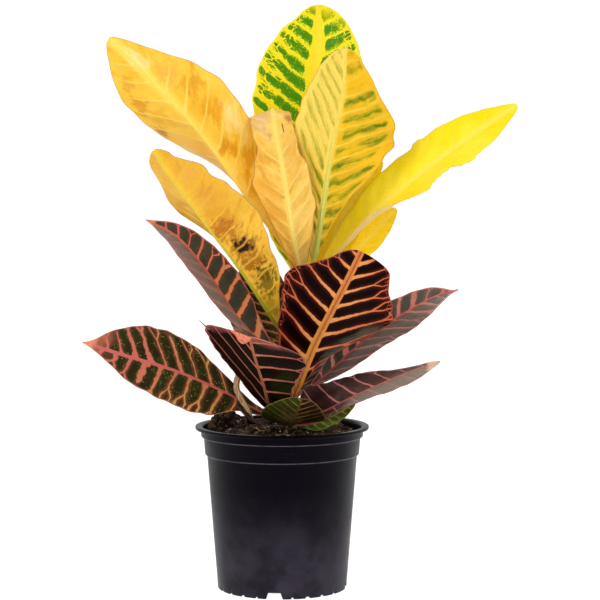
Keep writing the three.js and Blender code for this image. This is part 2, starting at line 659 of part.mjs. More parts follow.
function soilHeight(x, y) {
  const [a, b, c, d] = SOIL_LUMP_TURNS;
  const lumps = Math.sin(a * x + 1) * Math.cos(b * y) + SOIL_SECOND_LUMP * Math.sin(c * x - d * y);
  return SOIL_MOUNDS.reduce((z, mound) => {
    const spread = ((x - mound.x) ** 2 + (y - mound.y) ** 2) / (2 * mound.spread ** 2);
    return z + mound.height * Math.exp(-spread);
  }, SOIL_TOP + SOIL_LUMP * lumps);
}

function stemHole() {
  const depth = POT_HEIGHT;
  const hole = new THREE.CylinderGeometry(STEM_HOLE_RADIUS, STEM_HOLE_RADIUS, depth, STEM_HOLE_SIDES);
  hole.rotateX(Math.PI / 2);
  hole.translate(STEM_PATH[0][0], STEM_PATH[0][1], STEM_PATH[0][2] - GAP + depth / 2);
  return solidFrom(hole);
}

function soilSolid() {
  const clear = WALL + GAP;
  const floor = FLOOR_Z + FLOOR + GAP;
  const side = [
    [PAD_RADIUS - GAP, FLOOR + GAP], [PAD_RADIUS + PAD_BLEND - GAP, floor],
    [BASE_RADIUS - clear - FLOOR_ROUND, floor], [BASE_RADIUS - clear, floor + FLOOR_ROUND],
    [STEP_RADIUS - clear, STEP_Z], [BAND_RADIUS - clear, STEP_Z + WALL + GAP],
    [SOIL_RADIUS, SOIL_TOP - SOIL_SHOULDER],
  ];
  const rings = side.map(([radius, z]) => levelRing(0, 0, radius, SOIL_SIDES, () => z));
  for (let i = SOIL_RINGS; i >= 1; i--) {
    rings.push(levelRing(0, 0, (SOIL_RADIUS * i) / SOIL_RINGS, SOIL_SIDES, soilHeight));
  }
  return loft(rings).subtract(stemHole());
}

// ---------------------------------------------------------------- assembly

const group = new THREE.Group();

function addPiece(name, solid, tint) {
  const material = new THREE.MeshStandardMaterial({ color: TINTS[tint], roughness: 0.5 });
  const mesh = new THREE.Mesh(geometryFrom(solid), material);
  mesh.name = name;
  group.add(mesh);
}

function largestBody(solid) {
  return solid.decompose().reduce((best, body) => (body.volume() > best.volume() ? body : best));
}

addPiece("pot", potSolid(), "pot");
addPiece("soil", soilSolid(), "soil");
addPiece("stem", stemSolid(0), "stem");
const stemClearance = stemSolid(GAP);
for (const [name, leaf] of Object.entries(LEAVES)) {
  addPiece(name, largestBody(leafSolid(leaf).subtract(stemClearance)), leaf.tint);
}

export default group;
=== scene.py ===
"""The looks of a potted croton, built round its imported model: metres, +Z up, the plant's front is -Y."""
import math
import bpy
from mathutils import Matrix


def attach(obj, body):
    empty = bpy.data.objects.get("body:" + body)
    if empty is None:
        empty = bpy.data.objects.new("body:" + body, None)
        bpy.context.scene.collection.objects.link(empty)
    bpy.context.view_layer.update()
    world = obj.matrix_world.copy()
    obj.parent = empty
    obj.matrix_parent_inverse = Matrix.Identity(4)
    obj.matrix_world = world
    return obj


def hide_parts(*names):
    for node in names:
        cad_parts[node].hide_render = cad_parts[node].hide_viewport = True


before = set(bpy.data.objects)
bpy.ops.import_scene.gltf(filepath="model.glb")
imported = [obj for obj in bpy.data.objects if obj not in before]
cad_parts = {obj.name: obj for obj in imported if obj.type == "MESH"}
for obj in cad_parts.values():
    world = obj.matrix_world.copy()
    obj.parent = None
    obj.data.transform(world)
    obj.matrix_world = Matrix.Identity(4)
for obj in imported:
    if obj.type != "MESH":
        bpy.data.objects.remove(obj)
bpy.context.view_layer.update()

from types import SimpleNamespace

import bmesh
import bpy
import numpy as np

BODY = "root"
MM = 0.001

# ---------------------------------------------------------------- camera, light and stage

CAMERA_PLACE = (0.017, -1.900, 0.398)
CAMERA_PITCH = 3.73  # degrees below level
CAMERA_LENS = 120.6
CAMERA_SENSOR = 36

STUDIO_WALL = 1.06  # how bright the studio's wall looks, and lights the plant from behind
STUDIO_FRONT = 0.16  # the studio in front is darker, so dark leaves stay dark
STUDIO_COLOUR = (1.0, 1.0, 1.0, 1.0)
FLOOR_LEFT, FLOOR_RIGHT, FLOOR_FRONT, FLOOR_BACK = -6.0, 6.0, -0.75, 8.0  # m
FLOOR_PAPER = "#8c8c8b"
FLOOR_GLOW = 0.96  # the floor is a lit panel
LAMPS = [  # place, size, power, tint, whether it shows in gloss
    ((-1.2, -1.7, 1.5), 0.9, 25, "#fffaf2", True),
    ((0.3, -2.4, 0.9), 2.6, 30, "#ffffff", False),
    ((1.3, -1.6, 0.7), 1.2, 9, "#ffffff", False),
    ((0.2, 0.9, 1.6), 1.0, 7, "#ffffff", True),
]
TARGET = (0.0, 0.0, 0.25)

# ---------------------------------------------------------------- sizes, mm and degrees

BLADE_HALF = 0.32  # half the blade's thickness
MARGIN_THIN = 0.55  # the blade loses this share of its thickness at its margin
MARGIN_START = 0.85  # and starts to lose it this far across
MARGIN_UNEVEN = 0.012  # small waves in a leaf's outline, as a share of its width
PETIOLE_RADIUS = 2.1
PETIOLE_FLARE = 0.5  # the petiole is this share wider where it meets the stem
PETIOLE_START = 2.2
PETIOLE_ROWS = 8
RIB_TIP_RADIUS = 0.6
RIB_SHARE = 0.35  # the midrib takes no more of a half width than this
RIB_COLUMNS = (0.0, 0.35, 0.65, 0.86, 0.97, 1.06, 1.3, 1.8)  # columns over the midrib, in its radii
RIB_UPPER = 0.3  # how far the midrib stands out of the upper side, as a share of its radius
TIP_HALF_WIDTH = 0.6
QUILT = 0.55  # how far the blade swells between its veins
QUILT_FROM_RIB, QUILT_FROM_RIM = 7, 6  # the swelling dies away this near to the midrib and the margin
STALK_ENDS = 2.4  # the round petiole has turned into a flat blade where it is this many times as wide
ROWS_EVEN, ROWS_DRAWN = 0.7, 0.15  # how evenly a leaf's rows lie, and how far they are drawn to its ends
TEAR = 0.18  # how uneven a torn margin is, as a share of its depth
TEAR_TURNS = 210
VEIN_SHIFT = 0.4  # the right half's veins start this much later than the left's, in spaces
WAVE_SHIFT = 0.3  # and its waves, in waves
CURVE_STEPS = 24  # samples between two points of a curve
TANGENT_SHARE = 0.02  # of a curve's length, over which its direction is taken
FINE_LEAF = dict(rows=168, outer=20)
PLAIN_LEAF = dict(rows=96, outer=12)
SMALL_LEAF_LENGTH = 130

LOBE = [  # across the folded margin: x and z of its upper edge, then of its lower edge
    [-46.7, 251.8, -46.5, 251.0], [-41.5, 250.6, -42.0, 247.0], [-37.5, 249.2, -39.5, 242.0],
    [-33.5, 248.0, -35.5, 239.0], [-29.4, 247.0, -30.5, 241.0], [-26.5, 246.4, -26.6, 245.6],
]
LOBE_SLOPE = (-1.11, -1.06)  # how y falls over the leaf's front with x and with z
LOBE_COLUMNS, LOBE_ROWS = 40, 14
LOBE_REST, LOBE_SWELL = 1.6, 1.8
THREAD = [[-66, -56, 250.5], [-70, -55.5, 253.6], [-72.8, -56, 256.3], [-75.8, -57, 259.4]]
THREAD_RADII = (0.9, 0.2)
THREAD_ROWS, THREAD_SIDES = 14, 8

STEM_PATH = [[8, 0, 112], [8, 0, 138], [10, -1, 180], [17, 1, 240], [24, 3, 296]]
STEM_ROWS = 150
STEM_SIDES = 28
STEM_FOOT_RADIUS = 6
STEM_TOP_RADIUS = 3.6
STEM_RIDGE = 0.45
STEM_RIDGE_PITCH = 14
STEM_TOP_START, STEM_TOP_TAPER = 0.965, 0.75  # where the stem closes, and by what share

GAP = 0.3
WALL = 1.6
FLOOR_Z = 5
FLOOR = 2.4
FLOOR_ROUND = 3
PAD_RADIUS = 26
PAD_BLEND = 6
FOOT_WIDTH = 3.2
FOOT_HEIGHT = 8  # notches and scallops change nothing above this
BASE_RADIUS = 61.4
STEP_Z = 127
STEP_RADIUS = 71.3
STEP_RISE = 1
BAND_RADIUS = 73.2
BAND_TOP_RADIUS = 74.5
COLLAR_Z = 144
COLLAR_RADIUS = 77
LIP_Z = 152
LIP_RADIUS = 82.5
POT_HEIGHT = 155
POT_ROUND = 0.9
POT_SIDES = 360
POT_SHARP = 40  # edges sharper than this stay sharp
NOTCH_COUNT = 4
NOTCH_TURN = -96.5
NOTCH_TOP_WIDTH = 11.7
NOTCH_BOTTOM_WIDTH = 16.4
NOTCH_HEIGHT = 6
SCALLOP_PITCH = 15
SCALLOP_WIDTH = 5
SCALLOP_HEIGHT = 1.6
POT_HIGHLIGHT_EDGES = (STEP_Z + STEP_RISE, COLLAR_Z + STEP_RISE)  # heights of the pot's step edges, where a pale line is painted as a highlight
POT_HIGHLIGHT_WIDTH = 0.8
DRAIN_RADIUS = 4
DRAIN_CIRCLE = 44
DRAIN_SIDES = 32

SOIL_TOP = 146
SOIL_SIDES = 150
SOIL_RINGS = 60
SOIL_LUMP = 0.9
SOIL_RADIUS = BAND_TOP_RADIUS - WALL - GAP - 0.2
SOIL_SHOULDER = 4
SOIL_MOUNDS = [  # x, y, height, spread
    (-54, 22, 19, 11), (-30, -8, 6, 20), (30, 38, 6, 20), (8, 0, 4, 16), (52, -18, 3, 12),
]
GRAINS = [  # name, paint, kinds, divisions, lumpiness, sizes, count, share on the first mound, lift in sizes
    ("soil_crumbs_small", "soil_crumbs", 9, 1, 0.22, (0.7, 1.9), 1500, 0.25, (0.0, 0.55)),
    ("soil_crumbs_large", "soil_crumbs", 9, 2, 0.22, (1.8, 3.6), 190, 0.45, (0.0, 0.55)),
    ("soil_perlite", "perlite", 6, 2, 0.16, (0.8, 1.9), 46, 0.1, (0.6, 0.6)),
]
SOIL_PAINTS = {  # dark and light colour, roughness
    "soil_bed": ("#0c0805", "#2c1d11", 0.9),
    "soil_crumbs": ("#0a0604", "#6b5238", 0.9),
    "perlite": ("#8d8069", "#ddd6c4", 0.9),
    "straw": ("#4a3522", "#b79a6a", 0.8),
}
FIBRE_COUNT = 40
FIBRE_LENGTHS = (7, 24)
FIBRE_LIFT, FIBRE_ARCH = 1.3, 1.2
FIBRE_RADII = (0.25, 0.55)
FIBRE_BEND = 0.35  # radians from one point to the next
FIBRE_POINTS, FIBRE_ROWS, FIBRE_SIDES = 5, 12, 6
SOIL_SEED = 7
BED_SHADE = 0.3

# ---------------------------------------------------------------- how the leaves look

# One side of a leaf. Widths of veins are shares of the space between two veins, and places across the blade
# run from 0 at the midrib to 1 at the margin. Each of LOOKS changes some of these, or some of those of the
# look it is like.
SIDE = dict(
    blade=("#2c3a1c", "#232f1c"), tint_size=40,  # two tones between the veins, and their size in mm
    vein=("#c05a42", "#e0954a"), vein_tip=None,  # at the midrib and the margin, and near the leaf's tip
    width=(0.1, 0.06), crisp=0.035,  # of the veins at the midrib and the margin, and how soft their edges are
    thick=(1.0, 1.0),  # how the veins' width changes from the leaf's base to its tip
    wander=0.2, uneven=0.25, vary=0.3,  # how much veins stray, change in width, and differ from each other
    reach=1.0, fork=(0.68, 0.7),  # where the shortest end, where they part in two, and the share that do
    halo=None,  # the veins' colour bleeding into the blade, and how strongly
    band=None,  # a soft stripe along the midrib: colour and width in mm
    net=None,  # the fine net near the margin: width, where it starts, and cells along and across
    patch=None,  # fields between the veins: colours of the field, its core and its edge
    patch_core=0.2, patch_glow=0.1, patch_reach=(0.1, 0.9), patch_gap=0.15, patch_rough=0.2, patch_crisp=0.03,
    patch_share=1.0, patch_grain=(1.6, 4.0), patch_speck=0.7, islands=0.0,
    rib="#bf5a44", rib_line=None,  # one colour, or two from base to tip, and a line along its middle
    rib_width=(2.2, 0.8),  # from its middle to its edge, mm, at the leaf's base and tip
    rim=("#b65a4c", 0.8), rim_tip=1.0,  # colour and width in mm, and how much wider it is at the tip
    stain=None,  # smudges drawn out along the veins: colour and share; real stains on most looks, painted shade of the blade's waves on pale_under
    fleck=None,  # small dots: colour and share
    dry=None,  # a dry tip: colour and where it starts
    half=None,  # a wash over the half on the leaf's right: colour and strength
    washes=(),  # (side -1 left, 1 right or 0, start and end along, colour, strength), over the veins too
    spots=(),  # (share along, place across, length, width, colour, strength, grain in mm)
    vein_net=0.0,  # how far the spots leave the veins clear
    raised=0.2, grain=0.05, rough=0.4, sheen=0.4,
)
SPOT_GRAIN = 14  # mm from vein to vein
SPOT_LENGTH = 11  # mm in one unit of the way across a blade
LOOK_SEED, CELL_SEED = 7.3, 3.1  # how far one look's noise lies from the next one's
LEAF_SEED = 13.7  # and one leaf's from the next one's
VEIN_SEED, PATCH_SEED = 31.7, 17.3  # keep the two halves' random numbers apart
VEIN_FLARE = 0.5  # veins are this share wider where they leave the midrib

LOOKS = {
    "gold_upper": dict(
        slot="leaf_gold", blade=("#f0bd3c", "#f5cd4c"), vein=("#f8d76a", "#f5ce5a"), width=(0.05, 0.02),
        crisp=0.06, fork=(0.8, 0.4), band=("#f9d65a", 9), rib="#fadb60", rib_width=(2.4, 0.8),
        rim=("#c9975a", 0.5), stain=("#dc9a22", 0.4), raised=-0.2, rough=0.42, sheen=0.12),
    "gold_under": dict(
        like="gold_upper", blade=("#eebb38", "#f4c744"), reach=0.55, stain=("#de9c14", 0.42), vein_net=0.8,
        raised=0.25,
        spots=[
            (0.62, -0.5, 0.05, 0.3, "#dc9410", 0.74, 6), (0.5, -0.3, 0.035, 0.25, "#d08400", 0.74, 5),
            (0.44, -0.55, 0.06, 0.3, "#d69200", 0.81, 6), (0.36, -0.35, 0.05, 0.35, "#dc9a00", 0.81, 6),
            (0.3, -0.6, 0.04, 0.3, "#dea000", 0.68, 6), (0.8, -0.45, 0.05, 0.35, "#e0a04a", 0.5, 6),
            (0.72, -0.55, 0.04, 0.3, "#d89420", 0.68, 5), (0.78, 0.7, 0.05, 0.25, "#d28c14", 0.74, 5),
            (0.66, 0.8, 0.035, 0.15, "#a8701c", 0.81, 4), (0.7, 0.5, 0.04, 0.25, "#dfa020", 0.61, 5),
            (0.86, 0.6, 0.03, 0.25, "#cf8e2c", 0.54, 5), (0.5, 0.6, 0.06, 0.3, "#e4a624", 0.4, 6),
            (0.55, -0.75, 0.08, 0.25, "#f8dc98", 0.6, 8), (0.9, -0.2, 0.06, 0.4, "#f9dda0", 0.6, 8),
            (0.4, -0.15, 0.08, 0.12, "#f6d060", 0.5, 8), (0.62, 0.35, 0.08, 0.3, "#f6cf52", 0.5, 8)]),
    "amber_under": dict(
        like="gold_under", blade=("#dda52a", "#e8b63e"), vein=("#e4b238", "#e0ac32"), band=("#e8bd38", 7),
        rib=("#8d8a20", "#dcc23e"), rim=("#a9805a", 0.5), stain=("#cf8a1e", 0.4), vein_net=0.7,
        spots=[
            (0.6, -0.3, 0.1, 0.6, "#cd8a22", 0.5, 7), (0.57, -0.25, 0.05, 0.38, "#a85c12", 0.8, 3.2),
            (0.72, -0.4, 0.07, 0.5, "#d8983a", 0.45, 6), (0.84, -0.5, 0.06, 0.5, "#dba04a", 0.4, 6),
            (0.47, -0.38, 0.06, 0.45, "#ac660f", 0.75, 3.5), (0.475, -0.42, 0.042, 0.3, "#1e0e02", 1.0, 4),
            (0.4, -0.4, 0.05, 0.5, "#94520c", 0.8, 3.2), (0.33, -0.6, 0.045, 0.38, "#473405", 0.85, 3.2),
            (0.27, -0.55, 0.06, 0.45, "#5e4f0a", 0.8, 3.4), (0.18, -0.4, 0.07, 0.4, "#8f8a14", 0.6, 5),
            (0.36, 0.5, 0.05, 0.4, "#c98a1e", 0.4, 5)]),
    "pale_under": dict(
        like="gold_under", blade=("#f0c75f", "#e8b23e"), tint_size=22, vein=("#f3d484", "#f1ce72"),
        width=(0.03, 0.02), wander=0.4, band=("#f3d06a", 3.5), rib="#f6da72", rib_width=(2.6, 1.2),
        # its golden stain between the veins is painted shade of the blade's waves
        rim=("#cf9a5c", 0.8), stain=("#d89a34", 0.6), dry=("#b8785a", 0.985), vein_net=0.0,
        # washes: a painted paler light over the left half near the base, and painted shade towards the tip on
        # the right
        washes=[(1, 0.75, 1.1, "#d8a860", 0.35), (-1, 0.0, 0.35, "#eec566", 0.5)],
        # the three large soft golden and tan spots, at 0.6, 0.4 and 0.8 along, are painted shade of the
        # blade's waves
        spots=[
            (0.71, 0.28, 0.02, 0.12, "#a97a44", 0.55, 2), (0.75, 0.47, 0.025, 0.1, "#b08246", 0.5, 2),
            (0.95, -0.6, 0.06, 0.55, "#a8583c", 0.85, 3), (0.81, -0.78, 0.03, 0.25, "#a05a3a", 0.75, 3),
            (0.745, -0.4, 0.035, 0.035, "#4a2c18", 0.8, 8), (0.6, -0.5, 0.12, 0.45, "#e3ae52", 0.5, 9),
            (0.4, 0.5, 0.12, 0.4, "#e0a848", 0.45, 9), (0.8, 0.5, 0.1, 0.4, "#d8b084", 0.5, 8)]),
    "green_gold_upper": dict(
        slot="leaf_green_gold", blade=("#f8de14", "#f4e020"), tint_size=30, vein=("#f9e01c", "#f2e22a"),
        width=(0.05, 0.03), crisp=0.05, wander=0.22, fork=(0.6, 0.7), band=("#f9dc24", 8),
        patch=("#6aa30c", "#498a06", "#c9dc10"), patch_reach=(0.14, 0.93), patch_gap=0.135, patch_rough=0.6,
        patch_crisp=0.02, islands=0.9, rib="#fbdc38", rib_width=(3.4, 1.4), rim=("#efe54a", 1.3),
        raised=-0.12, sheen=0.1,
        washes=[(0, 0.965, 1.3, "#f6dd22", 0.9)]),
    "green_gold_under": dict(
        blade=("#efbb1c", "#e5ae1e"), tint_size=26, vein=("#f4cf4a", "#f0c440"), width=(0.06, 0.03),
        crisp=0.1, wander=0.15, fork=(0.95, 0.7), band=("#f4cf48", 6),
        patch=("#a39a1a", "#5b6c0c", "#dcb922"), patch_core=0.5, patch_glow=0.3, patch_reach=(0.06, 0.85),
        patch_gap=0.3, patch_rough=1.5, patch_crisp=0.16, patch_share=0.85, patch_grain=(1.0, 2.6),
        patch_speck=0.12, rib="#e6ce52", rib_width=(3.2, 1.4), rim=("#e0a83c", 0.7), raised=0.3, rough=0.45,
        sheen=0.07),
    "centre_under": dict(
        like="green_gold_under", wander=0.3, patch=("#a39a1a", "#5b6c0c", "#d2b01e"), patch_gap=0.32,
        patch_share=0.95, rib=("#c9d060", "#f3d25e"), half=("#edd468", 0.7),
        washes=[(1, 0.5, 1.2, "#efd566", 0.45), (-1, 0.84, 1.2, "#eab41c", 0.4)]),
    "yellow_upper": dict(
        slot="leaf_yellow", blade=("#ffdb00", "#fde232"), tint_size=42, vein=("#fce048", "#fbdb28"),
        width=(0.04, 0.02), crisp=0.1, band=("#fbe04a", 6), rib="#fde358", rim=("#f0c31c", 0.4),
        raised=-0.12, rough=0.45, sheen=0.1),
    "yellow_under": dict(
        like="yellow_upper", blade=("#f3cf7c", "#f6d888"), vein=("#fae2a0", "#f7d984"), band=None,
        rib="#f8dc8c", rim=("#eab850", 0.4), raised=0.2, rough=0.5),
    "flecked_upper": dict(
        like="yellow_upper", blade=("#ffd400", "#ffdc10"), fleck=("#8a9a1c", 1.0)),
    "dark_upper": dict(
        slot="leaf_dark", blade=("#221f0b", "#2a2e11"), tint_size=30, vein=("#b26c46", "#b68842"),
        vein_tip="#bd605a", width=(0.12, 0.08), thick=(0.6, 1.6), crisp=0.03, uneven=0.45, vary=0.55,
        reach=0.8, fork=(0.72, 0.7), halo=("#6e3a2a", 0.65), rib=("#a04c48", "#c0625c"),
        rib_width=(1.1, 2.0), rim=("#a8645c", 0.9), rim_tip=2.2, fleck=("#9fa036", 1.3),
        dry=("#d98a68", 0.93), raised=-0.15, rough=0.42, sheen=0.07,
        washes=[(0, 0.9, 1.2, "#c9705a", 0.6)]),
    "dark_under": dict(
        blade=("#170706", "#240a07"), tint_size=26, vein=("#c8682e", "#b23f28"), width=(0.12, 0.05),
        crisp=0.03, wander=0.12, fork=(0.7, 0.6), halo=("#5a140c", 0.5), net=(0.05, 0.8, 2.6, 6.0),
        rib=("#c47a3a", "#bd6040"), rib_width=(3.4, 2.2), rim=("#93382a", 0.9), raised=0.3, rough=0.42,
        sheen=0.07),
    "high_upper": dict(
        like="dark_upper", blade=("#383c33", "#444639"), vein=("#e08a5a", "#e69862"), vein_tip="#cc6a62",
        width=(0.13, 0.12), thick=(1.6, 0.8), vary=0.5, reach=1.0, rib=("#9a5a4c", "#cf6a54"),
        rib_width=(1.4, 1.4), rim=("#bd6a66", 1.3), rim_tip=1.0, fleck=("#9fa036", 0.6), sheen=0.1,
        # the grey wash over the left half is a painted sheen on its folded half
        washes=[(-1, 0.2, 1.1, "#8a7873", 0.85)]),
    "grey_upper": dict(
        like="dark_upper", blade=("#454a40", "#2f342b"), tint_size=16, vein=("#c87e76", "#c9827e"),
        vein_tip="#bc7068", width=(0.13, 0.11), thick=(1.0, 1.15), uneven=0.5, vary=0.7, reach=1.0,
        halo=("#6b4a48", 0.65), rib_width=(1.6, 1.0), rim=("#c0706c", 0.9), fleck=None,
        dry=("#3d3230", 0.975), sheen=0.15,
        # the two grey washes are a painted sheen
        washes=[(1, 0.1, 1.1, "#a08078", 0.25), (-1, 0.75, 1.1, "#7b6a62", 0.3)]),
    "plum_upper": dict(
        like="dark_upper", blade=("#3d2420", "#553e3b"), vein=("#bd7874", "#b87672"), vein_tip="#b8706a",
        width=(0.065, 0.05), thick=(1.0, 1.0), wander=0.12, uneven=0.3, reach=1.0, fork=(0.95, 0.3),
        halo=("#5d3a38", 0.65), rib=("#a04c48", "#bc6e68"), rib_width=(1.6, 0.9), rim=("#9c6a64", 0.9),
        fleck=None, dry=("#dcb296", 0.9), vein_net=1.0, sheen=0.08,
        # the two pale grey washes are a painted sheen
        washes=[(1, 0.35, 1.1, "#a39386", 0.6), (-1, 0.7, 1.1, "#8c7872", 0.4)],
        spots=[
            (0.12, 0.0, 0.3, 1.3, "#2a1210", 0.8, 9), (0.5, -0.5, 0.2, 0.5, "#38221f", 0.6, 7),
            (0.75, -0.6, 0.12, 0.4, "#4b3532", 0.6, 6), (0.95, 0.4, 0.04, 0.5, "#4a2f28", 0.7, 5)]),
    "front_under": dict(
        like="dark_under", blade=("#0b0202", "#120403"), vein=("#d98f52", "#bf5c3c"), width=(0.13, 0.06),
        halo=("#57170c", 0.4), rib=("#d3923f", "#c9793e"), rib_width=(4.0, 3.0), rib_line="#8a3c1a",
        rim=("#a4483c", 0.9), vein_net=1.0, sheen=0.05,
        # the two grey spots near the margin are a painted sheen
        spots=[(0.42, -0.9, 0.17, 0.42, "#4a4c42", 0.7, 10), (0.56, -0.95, 0.08, 0.2, "#55483a", 0.5, 8)]),
    "front_left_under": dict(
        like="dark_under", blade=("#170805", "#100703"), vein=("#b06c50", "#a3564a"), width=(0.07, 0.05),
        fork=(0.95, 0.2), halo=("#46180f", 0.2), net=None, rib=("#85512e", "#a3644a"), rib_width=(1.6, 1.6),
        rim=("#a0584e", 1.5), rim_tip=2.6, fleck=("#8a9a2c", 0.1), vein_net=1.0, sheen=0.05,
        washes=[(0, 0.96, 1.2, "#c26c62", 0.8)],
        spots=[(0.4, -0.75, 0.3, 0.7, "#1d240b", 0.65, 12)]),
    "small_under": dict(
        like="dark_under", blade=("#33180f", "#251009"), vein=("#a08848", "#7a6c3c"), width=(0.09, 0.04),
        fork=(0.95, 0.2), halo=("#3a2a10", 0.5), net=None, rib=("#6d5530", "#54431f"), rib_width=(1.8, 1.0),
        rim=("#6f5a34", 0.9), half=("#354110", 0.8), sheen=0.08,
        spots=[(0.25, 0.1, 0.4, 0.55, "#86683e", 0.6, 8), (0.7, 0.3, 0.2, 0.5, "#3a2413", 0.5, 6)]),
    "lime_upper": dict(
        like="dark_upper", slot="leaf_green_gold", blade=("#69733a", "#41581a"), tint_size=14,
        vein=("#bcb886", "#a9b060"), vein_tip=None, width=(0.13, 0.05), halo=("#84a032", 0.6),
        rib=("#a04c48", "#b5bc62"), rib_width=(1.4, 0.8), rim=("#84902e", 0.9), fleck=("#a5c030", 0.8),
        dry=None),
    "lime_under": dict(
        like="green_gold_under", blade=("#7d8a2a", "#6c8020"), rib="#c0b866", rim=("#8d8c3a", 0.7)),
    "rolled": dict(
        slot="leaf_withered", blade=("#b3906a", "#97775a"), tint_size=12, vein=("#cdb792", "#c3a982"),
        width=(0.1, 0.08), rib="#bf9c72", rib_width=(1.6, 0.7), rim=("#5d4030", 0.6),
        stain=("#8a4a38", 0.4), raised=0.4, grain=0.15, rough=0.7, sheen=0.2),
    "flat_dry": dict(
        like="rolled", blade=("#2a1a13", "#281812"), vein=("#3d2a1e", "#4a3424"), rib="#3a281c",
        rim=("#4a3426", 0.7), stain=None),
}

